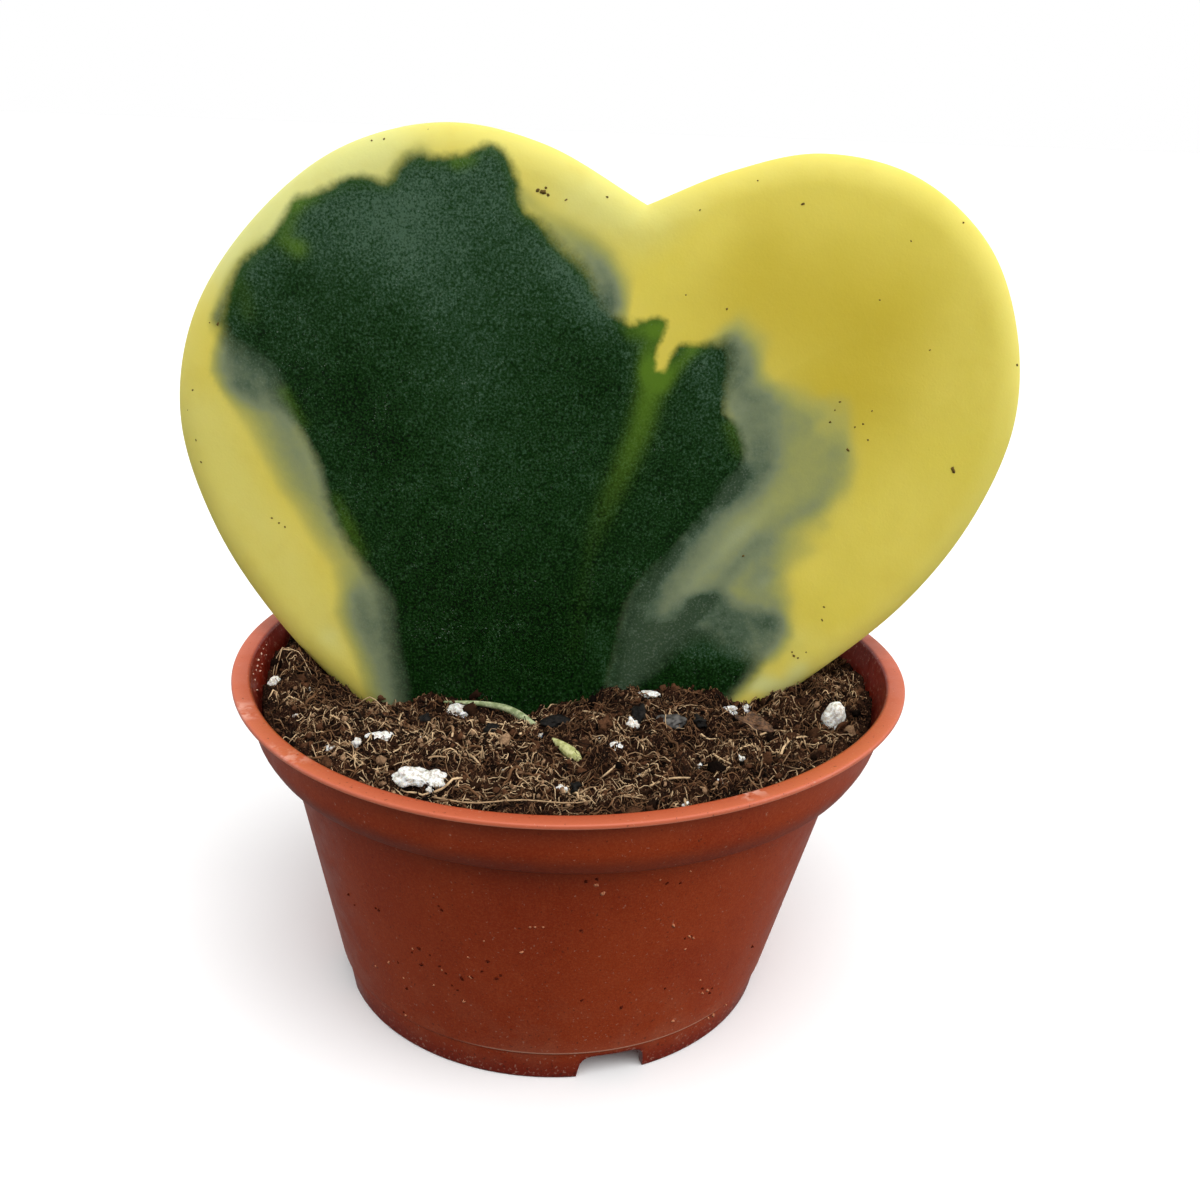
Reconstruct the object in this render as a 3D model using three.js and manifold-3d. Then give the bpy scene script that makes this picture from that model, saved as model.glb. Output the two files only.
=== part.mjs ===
// A single variegated hoya leaf, heart-shaped and standing notch up, in the soil of a small plastic pot.
// Millimetres, +Z up. The drawing's own origin is on the ground, under the middle of the pot's rim,
// with -Y to the front; at the end the whole plant is moved sideways to stand centred on its box.
import * as THREE from "three";
import { mergeVertices } from "three/addons/utils/BufferGeometryUtils.js";
import Module from "manifold-3d";

// Pot, driving sizes
const RIM_RADIUS = 30;
const POT_HEIGHT = 30.8;
const WALL_THICKNESS = 0.65;
const FLANGE_WIDTH = 1.6;
const FLANGE_THICKNESS = 0.45;
const COLLAR_RADIUS = 28.7;
const SHOULDER_RADIUS = 27.05;
const SHOULDER_HEIGHT = 24.6;
const WALL_TOP_RADIUS = 25.4;
const WALL_FOOT_RADIUS = 20.6;
const FOOT_RADIUS = 19.85;
const FOOT_HEIGHT = 3.05;
const FOOT_WALL = 1.1;
const FLOOR_UNDERSIDE = 2.5;
const FLOOR_TOP = 3.2;
const POT_SIDES = 60;

// The thin pot is a little out of true: its base sits to the left of its rim, and its rim waves.
const POT_LEAN = 0.0335;
const RIM_WAVE = 0.45;
const RIM_WAVE_TURN = THREE.MathUtils.degToRad(156);

const FOOT_GAPS = 4;
const FOOT_GAP_TURN = THREE.MathUtils.degToRad(-73);
const FOOT_GAP_WIDTH = 5.4;
const FOOT_GAP_HEIGHT = 2.45;
const DRAIN_HOLES = 4;
const DRAIN_RADIUS = 2.2;
const DRAIN_RING_RADIUS = 12;

// Soil
const SOIL_LEVEL = 28.15;
const SOIL_SIDES = 64;
const SOIL_RINGS = 17;
const CLEARANCE = 0.3;
const STRANDS = 32;
const STRAND_RADIUS = 0.34;
const CRUMBS = 22;
const LITTER_REACH = 25;
const GOLDEN_TURN = Math.PI * (3 - Math.sqrt(5));

// Leaf
const LEAF_EDGE_RADIUS = 1.25;
const LEAF_CROWN = 0.3;
const LEAF_MIDDLE = [2, 46];
const LEAF_EDGE_POINTS = 104;
const LEAF_LEAN = 0.05;
const LEAF_BOW = 0.0011;
const LEAF_BOW_AXIS = 3;
const LEAF_CURL = 0.9;
const LEAF_CURL_START = 58;
const LEAF_CURL_REACH = 18;
const SOIL_LINE = 27;

// The leaf's edge, from the notch round by the right lobe, the petiole's end and the left lobe,
// as distances to the right of the rim's middle and heights above the ground.
const LEAF_EDGE = [
  [5.3, 70.5],
  [12.2, 73.4],
  [19.5, 75],
  [27.6, 73.4],
  [34.2, 68.2],
  [37.5, 61],
  [38.2, 53],
  [35.4, 44.4],
  [30, 36.5],
  [21.2, 29.8],
  [12, 22.4],
  [4.4, 16.6],
  [2.2, 13],
  [1.9, 10.4],
  [0.2, 8.8],
  [-1.5, 10.4],
  [-1.8, 13],
  [-4, 16.4],
  [-12.2, 20.6],
  [-20.4, 26],
  [-27.6, 33.7],
  [-32.5, 41.8],
  [-35, 51],
  [-33.5, 59.7],
  [-28.4, 67.6],
  [-20.6, 74],
  [-11.7, 76.4],
  [-3.4, 75],
];

const material = (name, color, roughness) => {
  const made = new THREE.MeshStandardMaterial({ color, roughness, metalness: 0 });
  made.name = name;
  return made;
};

const terracotta = material("terracotta_plastic", 0x96482f, 0.45);
const peat = material("peat_and_coir", 0x3b2619, 0.95);
const blade = material("variegated_blade", 0x7d8a3a, 0.5);
const perlite = material("perlite", 0xe9e6dc, 0.9);
const greyStone = material("grey_stone", 0x5d6163, 0.8);
const charredBark = material("charred_bark", 0x16130f, 0.6);
const brownBark = material("brown_bark", 0x6e4527, 0.85);
const dryGreen = material("dry_green_stalk", 0x8d9a63, 0.7);
const budGreen = material("bud_husk", 0xa9a95a, 0.65);

const wasm = await Module();
wasm.setup();

// A closed geometry as a solid that can be joined and cut.
function solidFrom(geometry) {
  const bare = new THREE.BufferGeometry();
  bare.setAttribute("position", geometry.getAttribute("position"));
  if (geometry.index) bare.setIndex(geometry.index);
  const merged = mergeVertices(bare, 1e-4);
  return new wasm.Manifold(
    new wasm.Mesh({
      numProp: 3,
      vertProperties: new Float32Array(merged.getAttribute("position").array),
      triVerts: new Uint32Array(merged.index.array),
    }),
  );
}

// A solid back to a geometry; a scrap that a cut left loose is dropped.
function geometryFrom(solid) {
  const bodies = solid.decompose();
  bodies.sort((a, b) => b.volume() - a.volume());
  const mesh = bodies[0].getMesh();
  const positions = new Float32Array(mesh.numVert * 3);
  for (let i = 0; i < mesh.numVert; i += 1) {
    for (let k = 0; k < 3; k += 1) {
      positions[3 * i + k] = mesh.vertProperties[i * mesh.numProp + k];
    }
  }
  const geometry = new THREE.BufferGeometry();
  geometry.setAttribute("position", new THREE.BufferAttribute(positions, 3));
  geometry.setIndex(new THREE.BufferAttribute(new Uint32Array(mesh.triVerts), 1));
  return geometry;
}

// Moves every point of a geometry by a rule.
function reshape(geometry, rule) {
  const position = geometry.getAttribute("position");
  const point = new THREE.Vector3();
  for (let i = 0; i < position.count; i += 1) {
    point.fromBufferAttribute(position, i);
    rule(point);
    position.setXYZ(i, point.x, point.y, point.z);
  }
  return geometry;
}

// A profile of [radius, height] turned about the upright axis.
function turned(profile, sides) {
  const points = profile.map(([radius, height]) => new THREE.Vector2(radius, height));
  return new THREE.LatheGeometry(points, sides).rotateX(Math.PI / 2);
}

// How the pot is out of true: the rim's wave fades out at the shoulder, and the lean starts at the rim.
function potOutOfTrue(point) {
  const turn = Math.atan2(point.y, point.x);
  const up = THREE.MathUtils.clamp((point.z - SHOULDER_HEIGHT) / (POT_HEIGHT - SHOULDER_HEIGHT), 0, 1);
  const reach = THREE.MathUtils.smoothstep(Math.hypot(point.x, point.y), 20, 27);
  point.z += RIM_WAVE * up * reach * Math.cos(2 * (turn - RIM_WAVE_TURN));
  point.x -= POT_LEAN * (POT_HEIGHT - point.z);
}

// Outer radius of the pot's wall at a height between the foot and the shoulder.
function wallRadius(height) {
  const up = (height - FOOT_HEIGHT) / (SHOULDER_HEIGHT - FOOT_HEIGHT);
  return WALL_FOOT_RADIUS + (WALL_TOP_RADIUS - WALL_FOOT_RADIUS) * up;
}

function makePot() {
  const flangeBottom = POT_HEIGHT - FLANGE_THICKNESS;
  const inside = WALL_THICKNESS;
  const profile = [
    [0, FLOOR_UNDERSIDE],
    [FOOT_RADIUS - FOOT_WALL, FLOOR_UNDERSIDE],
    [FOOT_RADIUS - FOOT_WALL + 0.1, 0],
    [FOOT_RADIUS - 0.15, 0],
    [FOOT_RADIUS, 0.2],
    [WALL_FOOT_RADIUS - 0.22, FOOT_HEIGHT - 0.15],
    [WALL_FOOT_RADIUS, FOOT_HEIGHT],
    [wallRadius(14), 14],
    [WALL_TOP_RADIUS, SHOULDER_HEIGHT - 0.2],
    [SHOULDER_RADIUS - 0.3, SHOULDER_HEIGHT - 0.05],
    [SHOULDER_RADIUS, SHOULDER_HEIGHT + 0.15],
    [28, 26.2],
    [28.45, 27.8],
    [COLLAR_RADIUS, flangeBottom],
    [RIM_RADIUS - 0.08, flangeBottom],
    [RIM_RADIUS, flangeBottom + 0.1],
    [RIM_RADIUS, POT_HEIGHT - 0.12],
    [RIM_RADIUS - 0.15, POT_HEIGHT],
    [RIM_RADIUS - FLANGE_WIDTH + 0.15, POT_HEIGHT],
    [RIM_RADIUS - FLANGE_WIDTH, POT_HEIGHT - 0.15],
    [28.45 - inside, 27.8],
    [27.95 - inside, 26.4],
    [SHOULDER_RADIUS - inside, SHOULDER_HEIGHT + 0.6],
    [WALL_TOP_RADIUS - inside, SHOULDER_HEIGHT + 0.2],
    [wallRadius(14) - inside, 14],
    [WALL_FOOT_RADIUS - inside, FLOOR_TOP + 0.5],
    [WALL_FOOT_RADIUS - inside - 0.4, FLOOR_TOP],
    [0, FLOOR_TOP],
  ];
  let pot = solidFrom(turned(profile, POT_SIDES));

  // The gaps in the foot, wider at the ground than at their tops, with round top corners.
  const halfGap = FOOT_GAP_WIDTH / 2;
  const corner = 1.1;
  const gap = new THREE.Shape();
  gap.moveTo(-halfGap - 0.4, -1);
  gap.lineTo(halfGap + 0.4, -1);
  gap.lineTo(halfGap, FOOT_GAP_HEIGHT - corner);
  gap.quadraticCurveTo(halfGap - 0.2, FOOT_GAP_HEIGHT, halfGap - corner, FOOT_GAP_HEIGHT);
  gap.lineTo(corner - halfGap, FOOT_GAP_HEIGHT);
  gap.quadraticCurveTo(0.2 - halfGap, FOOT_GAP_HEIGHT, -halfGap, FOOT_GAP_HEIGHT - corner);
  for (let i = 0; i < FOOT_GAPS; i += 1) {
    const cutter = new THREE.ExtrudeGeometry(gap, { depth: 8, bevelEnabled: false, curveSegments: 3 });
    cutter.translate(0, 0, FOOT_RADIUS - 5);
    cutter.rotateX(Math.PI / 2);
    cutter.rotateZ(Math.PI / 2 + FOOT_GAP_TURN + (i * 2 * Math.PI) / FOOT_GAPS);
    pot = pot.subtract(solidFrom(cutter));
  }

  for (let i = 0; i < DRAIN_HOLES; i += 1) {
    const turn = FOOT_GAP_TURN + (i * 2 * Math.PI) / DRAIN_HOLES;
    const drill = new THREE.CylinderGeometry(DRAIN_RADIUS, DRAIN_RADIUS, 4, 16).rotateX(Math.PI / 2);
    drill.translate(DRAIN_RING_RADIUS * Math.cos(turn), DRAIN_RING_RADIUS * Math.sin(turn), FLOOR_TOP);
    pot = pot.subtract(solidFrom(drill));
  }
  return reshape(geometryFrom(pot), potOutOfTrue);
}

// The leaf stands a little bowed and leans back: how far its middle surface lies behind the pot's axis.
function leafDepth(x, z) {
  const curl = Math.max(0, (z - LEAF_CURL_START) / LEAF_CURL_REACH);
  return LEAF_LEAN * (z - SOIL_LINE) + LEAF_BOW * (x - LEAF_BOW_AXIS) ** 2 + LEAF_CURL * curl ** 2;
}

// The thick blade with its round edge, built from rings that step in from the edge to the middle.
// grow makes the whole leaf larger all round, for the hole that it stands in.
function makeLeaf(grow) {
  const corners = [...LEAF_EDGE, LEAF_EDGE[0]].map(([x, z]) => new THREE.Vector3(x, z, 0));
  const curve = new THREE.CatmullRomCurve3(corners, false, "centripetal");
  const edge = curve.getSpacedPoints(LEAF_EDGE_POINTS).slice(0, -1);
  const count = edge.length;

  // Each edge point's outward direction in the blade's plane.
  const outward = edge.map((point, i) => {
    const next = edge[(i + 1) % count];
    const before = edge[(i + count - 1) % count];
    return new THREE.Vector2(before.y - next.y, next.x - before.x).normalize();
  });

  // Rings: how far in from the edge, then how far towards the middle, and how thick there.
  const rings = [];
  for (const angle of [0, 35, 62, 90]) {
    const swing = THREE.MathUtils.degToRad(angle);
    const inset = LEAF_EDGE_RADIUS * (1 - Math.cos(swing)) - grow;
    rings.push({ inset, shrink: 1, half: (LEAF_EDGE_RADIUS + grow) * Math.sin(swing) });
  }
  for (const shrink of [0.86, 0.68, 0.46, 0.24]) {
    const half = LEAF_EDGE_RADIUS + grow + LEAF_CROWN * (1 - shrink ** 2);
    rings.push({ inset: LEAF_EDGE_RADIUS - grow, shrink, half });
  }

  const positions = [];
  const place = (x, z, side) => positions.push(x, leafDepth(x, z) + side, z);
  const ringPoint = ({ inset, shrink }, i) => {
    const x = edge[i].x - outward[i].x * inset;
    const z = edge[i].y - outward[i].y * inset;
    return [LEAF_MIDDLE[0] + (x - LEAF_MIDDLE[0]) * shrink, LEAF_MIDDLE[1] + (z - LEAF_MIDDLE[1]) * shrink];
  };
  for (const side of [-1, 1]) {
    for (const ring of rings) {
      for (let i = 0; i < count; i += 1) {
        const [x, z] = ringPoint(ring, i);
        place(x, z, side * ring.half);
      }
    }
    place(LEAF_MIDDLE[0], LEAF_MIDDLE[1], side * (LEAF_EDGE_RADIUS + grow + LEAF_CROWN));
  }

  const faces = [];
  const perSide = rings.length * count + 1;
  for (const back of [0, 1]) {
    const start = back * perSide;
    const face = (a, b, c) => (back ? faces.push(a, c, b) : faces.push(a, b, c));
    for (let ring = 0; ring + 1 < rings.length; ring += 1) {
      for (let i = 0; i < count; i += 1) {
        const next = (i + 1) % count;
        const a = start + ring * count + i;
        const b = start + ring * count + next;
        const c = a + count;
        const d = b + count;
        face(a, c, b);
        face(b, c, d);
      }
    }
    const last = start + (rings.length - 1) * count;
    for (let i = 0; i < count; i += 1) face(last + i, start + perSide - 1, last + ((i + 1) % count));
  }
  const geometry = new THREE.BufferGeometry();
  geometry.setAttribute("position", new THREE.Float32BufferAttribute(positions, 3));
  geometry.setIndex(faces);
  return geometry;
}

// A steady number between 0 and 1 for a whole-number place, so that every build is the same.
function scatter(a, b, seed) {
  const wave = Math.sin(a * 127.1 + b * 311.7 + seed * 74.7) * 43758.5453;
  return wave - Math.floor(wave);
}

// Smooth random relief between 0 and 1, with lumps of the given size.
function relief(x, y, size, seed) {
  const u = x / size;
  const v = y / size;
  const a = Math.floor(u);
  const b = Math.floor(v);
  const s = THREE.MathUtils.smoothstep(u - a, 0, 1);
  const t = THREE.MathUtils.smoothstep(v - b, 0, 1);
  const near = scatter(a, b, seed) * (1 - s) + scatter(a + 1, b, seed) * s;
  const far = scatter(a, b + 1, seed) * (1 - s) + scatter(a + 1, b + 1, seed) * s;
  return near * (1 - t) + far * t;
}

// Places where the soil is heaped, or hollow in front of the leaf: x, y, how high and how wide.
const SOIL_HEAPS = [
  [-4, -3, -2.2, 6],
  [-13, -2, -1.6, 4.5],
  [8.5, -2.6, 0.6, 4],
  [16, -2.6, -1.1, 3],
  [21, -2, 0.7, 3],
  [-24.5, 7, 1, 4.4],
  [14, 14, 0.9, 7],
  [-6, 17, 0.7, 7],
];

function soilHeight(x, y) {
  let height = SOIL_LEVEL;
  for (const [heapX, heapY, rise, width] of SOIL_HEAPS) {
    height += rise * Math.exp(-((x - heapX) ** 2 + (y - heapY) ** 2) / width ** 2);
  }
  height += 0.9 * (relief(x, y, 4.2, 1) - 0.5);
  height += 1.1 * (relief(x, y, 1.9, 2) - 0.5);
  return height;
}

// The plug of soil as it fills the pot, before anything stands in it.
function soilPlug() {
  const positions = [];
  const faces = [];
  const inside = WALL_THICKNESS + CLEARANCE;
  const collarRadius = 28.25 - inside;
  const addRing = (radius, heightAt) => {
    for (let i = 0; i < SOIL_SIDES; i += 1) {
      const turn = (2 * Math.PI * i) / SOIL_SIDES;
      const x = radius * Math.cos(turn);
      const y = radius * Math.sin(turn);
      positions.push(x, y, heightAt(x, y));
    }
  };
  positions.push(0, 0, soilHeight(0, 0));
  for (let ring = 1; ring <= SOIL_RINGS; ring += 1) {
    addRing((collarRadius * ring) / SOIL_RINGS, (x, y) => soilHeight(x, y));
  }
  addRing(SHOULDER_RADIUS - inside, () => SHOULDER_HEIGHT + 1);
  addRing(WALL_TOP_RADIUS - inside, () => SHOULDER_HEIGHT + 0.5);
  addRing(WALL_FOOT_RADIUS - inside - 0.2, () => FLOOR_TOP + 0.8);
  addRing(WALL_FOOT_RADIUS - inside - 0.6, () => FLOOR_TOP + CLEARANCE);
  positions.push(0, 0, FLOOR_TOP + CLEARANCE);

  const ringStart = (ring) => 1 + (ring - 1) * SOIL_SIDES;
  for (let i = 0; i < SOIL_SIDES; i += 1) faces.push(0, 1 + i, 1 + ((i + 1) % SOIL_SIDES));
  const rings = SOIL_RINGS + 4;
  for (let ring = 1; ring < rings; ring += 1) {
    for (let i = 0; i < SOIL_SIDES; i += 1) {
      const next = (i + 1) % SOIL_SIDES;
      const a = ringStart(ring) + i;
      const b = ringStart(ring) + next;
      const c = ringStart(ring + 1) + i;
      const d = ringStart(ring + 1) + next;
      faces.push(a, c, b, b, c, d);
    }
  }
  const bottom = positions.length / 3 - 1;
  for (let i = 0; i < SOIL_SIDES; i += 1) {
    faces.push(bottom, ringStart(rings) + ((i + 1) % SOIL_SIDES), ringStart(rings) + i);
  }
  const geometry = new THREE.BufferGeometry();
  geometry.setAttribute("position", new THREE.Float32BufferAttribute(positions, 3));
  geometry.setIndex(faces);
  return reshape(geometry, potOutOfTrue);
}

// An uneven lump: a ball of the given half sizes, pushed in and out by seeded waves.
function makeLump(piece, grow) {
  const { at, half, turn = 0, tilt = 0, rough = 0.16, seed = 1, detail = 1 } = piece;
  const ball = new THREE.IcosahedronGeometry(1, detail);
  reshape(ball, (p) => {
    const wave =
      Math.sin(3.1 * p.x + 2.3 * p.y + seed) +
      Math.sin(4.7 * p.y - 3.9 * p.z + 2 * seed) +
      Math.sin(5.3 * p.z + 4.1 * p.x + 3 * seed);
    p.multiplyScalar(1 + (rough * wave) / 2);
    p.set(p.x * (half[0] + grow), p.y * (half[1] + grow), p.z * (half[2] + grow));
  });
  ball.rotateY(tilt);
  ball.rotateZ(turn);
  return ball.translate(...at);
}

// A stalk or husk: round sections along a curve, each with its own thickness, closed at both ends.
function makeStem(piece, grow) {
  const { path, radii, sides = 8, steps = 14 } = piece;
  const curve = new THREE.CatmullRomCurve3(path.map((p) => new THREE.Vector3(...p)), false, "centripetal");
  const across = new THREE.Vector3();
  const lift = new THREE.Vector3();
  const positions = [];
  const start = curve.getPointAt(0).addScaledVector(curve.getTangentAt(0), -grow);
  positions.push(...start.toArray());
  for (let step = 0; step <= steps; step += 1) {
    const along = step / steps;
    const at = (radii.length - 1) * along;
    const low = Math.min(Math.floor(at), radii.length - 2);
    const radius = THREE.MathUtils.lerp(radii[low], radii[low + 1], at - low) + grow;
    const middle = curve.getPointAt(along);
    const heading = curve.getTangentAt(along);
    across.set(0, 0, 1).cross(heading).normalize();
    lift.crossVectors(heading, across);
    for (let i = 0; i < sides; i += 1) {
      const turn = (2 * Math.PI * i) / sides;
      const point = middle.clone();
      point.addScaledVector(across, radius * Math.cos(turn));
      point.addScaledVector(lift, radius * Math.sin(turn));
      positions.push(...point.toArray());
    }
  }
  const end = curve.getPointAt(1).addScaledVector(curve.getTangentAt(1), grow);
  positions.push(...end.toArray());

  const faces = [];
  const last = positions.length / 3 - 1;
  for (let i = 0; i < sides; i += 1) {
    const next = (i + 1) % sides;
    faces.push(0, 1 + next, 1 + i);
    for (let step = 0; step < steps; step += 1) {
      const a = 1 + step * sides + i;
      const b = 1 + step * sides + next;
      faces.push(a, b, a + sides, b, b + sides, a + sides);
    }
    faces.push(last, 1 + steps * sides + i, 1 + steps * sides + next);
  }
  const geometry = new THREE.BufferGeometry();
  geometry.setAttribute("position", new THREE.Float32BufferAttribute(positions, 3));
  geometry.setIndex(faces);
  return geometry;
}

// What lies on the soil, sunk into it by about a third: where its middle is and its half sizes.
const lump = (name, finish, at, half, more) => ({ name, material: finish, at, half, ...more });
const LUMPS = [
  lump("perlite_1", perlite, [-10.9, -20.4, 28.6], [2.2, 1.1, 1], { turn: 0.05, seed: 2, detail: 2 }),
  lump("perlite_2", perlite, [-15.3, -13.1, 28.3], [1.2, 0.8, 0.6], { turn: 0.1, seed: 5, detail: 2 }),
  lump("perlite_3", perlite, [23.2, -6.9, 28.5], [1.1, 1, 1.4], { tilt: 0.2, seed: 8, detail: 2 }),
  lump("perlite_4", perlite, [4.2, -13.7, 28.5], [0.7, 0.6, 0.5], { seed: 3 }),
  lump("perlite_5", perlite, [7.3, -2.5, 28.3], [0.9, 0.5, 0.45], { turn: -0.1, seed: 4 }),
  lump("perlite_6", perlite, [14.6, -3.2, 27.3], [0.85, 0.6, 0.6], { turn: 0.4, seed: 9 }),
  lump("perlite_7", perlite, [-26.5, -3, 28.2], [0.6, 0.7, 0.6], { seed: 6 }),
  lump("perlite_8", perlite, [-9.9, -4.6, 26.9], [1.1, 0.8, 0.65], { turn: -0.4, seed: 7 }),
  lump("stone_chip", greyStone, [9, -8.8, 28.7], [1.2, 0.9, 0.55], { turn: -0.15, seed: 11 }),
  lump("bark_chip", charredBark, [-1, -6.3, 26.9], [1.3, 0.75, 0.55], { turn: 0.2, seed: 12 }),
  lump("bark_flake", brownBark, [16.4, -8.4, 28.3], [1.9, 1.1, 0.4], { turn: -0.45, tilt: 0.3, seed: 13 }),
];

const STEMS = [
  {
    name: "green_stalk",
    material: dryGreen,
    path: [
      [-10.5, -2.1, 26.7],
      [-7.7, -2.5, 27.1],
      [-5.3, -3.6, 27.2],
      [-3, -5.6, 26.6],
    ],
    radii: [0.3, 0.34, 0.36, 0.42, 0.34],
  },
  {
    name: "green_bud",
    material: budGreen,
    path: [
      [-0.9, -13.1, 28.4],
      [0.2, -14.5, 28.3],
      [1.3, -15.9, 28.2],
    ],
    radii: [0.14, 0.42, 0.55, 0.56, 0.44, 0.16],
    steps: 10,
  },
];

// Coarse coir strands that arch out of the soil, and crumbs of bark half sunk in it, as one solid with it.
function addLitter(soil) {
  let littered = soil;
  const spot = (i, count, seed) => {
    const turn = GOLDEN_TURN * i + scatter(i, 1, seed) + seed;
    const reach = LITTER_REACH * Math.sqrt((i + 0.3 + 0.7 * scatter(i, 2, seed)) / count);
    return [reach * Math.cos(turn), reach * Math.sin(turn)];
  };
  for (let i = 0; i < STRANDS; i += 1) {
    const [x, y] = spot(i, STRANDS, 21);
    const heading = 2 * Math.PI * scatter(i, 3, 21);
    const length = 3.5 + 4 * scatter(i, 4, 21);
    const bend = 1.6 * (scatter(i, 5, 21) - 0.5);
    const path = [-0.5, -0.2, 0.2, 0.5].map((along, k) => {
      const side = k === 1 || k === 2 ? bend : 0;
      const px = x + along * length * Math.cos(heading) - side * Math.sin(heading);
      const py = y + along * length * Math.sin(heading) + side * Math.cos(heading);
      const inward = Math.min(1, LITTER_REACH / Math.hypot(px, py));
      const lift = side === 0 ? -0.6 : 0.3 + 0.4 * scatter(i, 6, 21);
      return [px * inward, py * inward, soilHeight(px * inward, py * inward) + lift];
    });
    const radii = [0.8 * STRAND_RADIUS, STRAND_RADIUS, 0.9 * STRAND_RADIUS];
    const strand = makeStem({ path, radii, sides: 3, steps: 4 }, 0);
    littered = littered.add(solidFrom(strand));
  }
  for (let i = 0; i < CRUMBS; i += 1) {
    const [x, y] = spot(i, CRUMBS, 33);
    const size = 0.6 + 0.7 * scatter(i, 3, 33);
    const crumb = makeLump(
      {
        at: [x, y, soilHeight(x, y)],
        half: [size * 1.3, size, size * 0.7],
        turn: Math.PI * scatter(i, 4, 33),
        seed: i,
        detail: 0,
      },
      0,
    );
    littered = littered.add(solidFrom(crumb));
  }
  return littered;
}

function build() {
  const plant = new THREE.Group();
  const add = (name, geometry, finish) => {
    const mesh = new THREE.Mesh(geometry, finish);
    mesh.name = name;
    plant.add(mesh);
  };

  add("pot", makePot(), terracotta);
  add("leaf", makeLeaf(0), blade);
  for (const piece of LUMPS) add(piece.name, makeLump(piece, 0), piece.material);
  for (const piece of STEMS) add(piece.name, makeStem(piece, 0), piece.material);

  let soil = addLitter(solidFrom(soilPlug()));
  soil = soil.subtract(solidFrom(makeLeaf(CLEARANCE)));
  for (const piece of LUMPS) soil = soil.subtract(solidFrom(makeLump(piece, CLEARANCE)));
  for (const piece of STEMS) soil = soil.subtract(solidFrom(makeStem(piece, CLEARANCE)));
  add("soil", geometryFrom(soil), peat);

  // Stand the whole plant on the middle of its own box.
  const box = new THREE.Box3().setFromObject(plant);
  const middle = box.getCenter(new THREE.Vector3());
  plant.position.set(-middle.x, -middle.y, -box.min.z);

  for (const mesh of plant.children) mesh.geometry.computeVertexNormals();
  return plant;
}

const part = new THREE.Group();
part.add(build());

export default part;
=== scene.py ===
import math

import bmesh
import bpy
import numpy as np
from mathutils import Matrix, Vector


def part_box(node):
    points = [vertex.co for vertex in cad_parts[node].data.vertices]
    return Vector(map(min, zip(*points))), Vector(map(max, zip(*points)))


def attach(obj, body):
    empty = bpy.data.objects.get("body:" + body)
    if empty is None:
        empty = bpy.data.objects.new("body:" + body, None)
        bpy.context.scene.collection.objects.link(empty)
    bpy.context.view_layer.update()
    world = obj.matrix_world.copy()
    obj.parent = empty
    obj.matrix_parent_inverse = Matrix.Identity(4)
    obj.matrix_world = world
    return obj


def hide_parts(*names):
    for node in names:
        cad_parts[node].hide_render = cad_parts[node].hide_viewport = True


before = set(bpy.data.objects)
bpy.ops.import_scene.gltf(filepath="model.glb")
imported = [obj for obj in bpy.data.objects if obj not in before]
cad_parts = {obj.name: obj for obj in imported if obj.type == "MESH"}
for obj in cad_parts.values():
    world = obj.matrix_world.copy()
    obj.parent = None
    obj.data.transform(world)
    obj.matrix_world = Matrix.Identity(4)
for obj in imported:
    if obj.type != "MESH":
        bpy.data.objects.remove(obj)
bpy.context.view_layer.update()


# Camera. It is close, 117 mm from the plant, looks down by 20 degrees and is rolled by 2 degrees.
# Its place was worked out from the circles of the pot's rim, shoulder and foot in the photograph.
CAMERA_LENS = 39.0
CAMERA_SENSOR = 36.0
CAMERA_DISTANCE = 117.2
CAMERA_TILT = math.radians(20.21)
CAMERA_ROLL = math.radians(2.0)
CAMERA_AIM = (2.51, 0.0, 36.4)
PICTURE_SIZE = 1200

rim_low, rim_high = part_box("pot")
POT_MIDDLE = np.array([(rim_low.x + rim_high.x) / 2, 0.0, 0.0])
METRES = 0.001


def in_frame(points):
    """Millimetres from the middle of the rim as metres in the part's frame."""
    return np.asarray(points, float) * METRES + POT_MIDDLE


backward = np.array([0.0, -math.cos(CAMERA_TILT), math.sin(CAMERA_TILT)])
level_right = np.array([1.0, 0.0, 0.0])
level_up = np.cross(level_right, -backward)
camera_right = level_right * math.cos(CAMERA_ROLL) + level_up * math.sin(CAMERA_ROLL)
camera_up = level_up * math.cos(CAMERA_ROLL) - level_right * math.sin(CAMERA_ROLL)
camera_eye = np.array(CAMERA_AIM) + backward * CAMERA_DISTANCE

camera_data = bpy.data.cameras.new("camera")
camera_data.lens = CAMERA_LENS
camera_data.sensor_width = CAMERA_SENSOR
camera_data.clip_start = 0.002
camera_data.clip_end = 20.0
camera = bpy.data.objects.new("camera", camera_data)
turn = Matrix([camera_right, camera_up, backward]).transposed().to_4x4()
camera.matrix_world = Matrix.Translation(in_frame(camera_eye)) @ turn
bpy.context.scene.collection.objects.link(camera)
bpy.context.scene.camera = camera


def sight_line(pixel):
    """The direction in which the camera sees a pixel of the 1200 by 1200 photograph."""
    across = (pixel[0] - PICTURE_SIZE / 2) * CAMERA_SENSOR / CAMERA_LENS / PICTURE_SIZE
    down = (pixel[1] - PICTURE_SIZE / 2) * CAMERA_SENSOR / CAMERA_LENS / PICTURE_SIZE
    return camera_right * across - camera_up * down - backward


def seen_at_height(pixel, height):
    """Where the line of sight through a pixel meets a level at the given height."""
    line = sight_line(pixel)
    return camera_eye + line * (height - camera_eye[2]) / line[2]


def seen_on_front(pixel, front_of):
    """Where the line of sight meets an upright surface, given how far back that lies at (x, z)."""
    line = sight_line(pixel)
    point = camera_eye - line * camera_eye[1] / line[1]
    for _ in range(12):
        point = camera_eye + line * (front_of(point[0], point[2]) - camera_eye[1]) / line[1]
    return point


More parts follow.
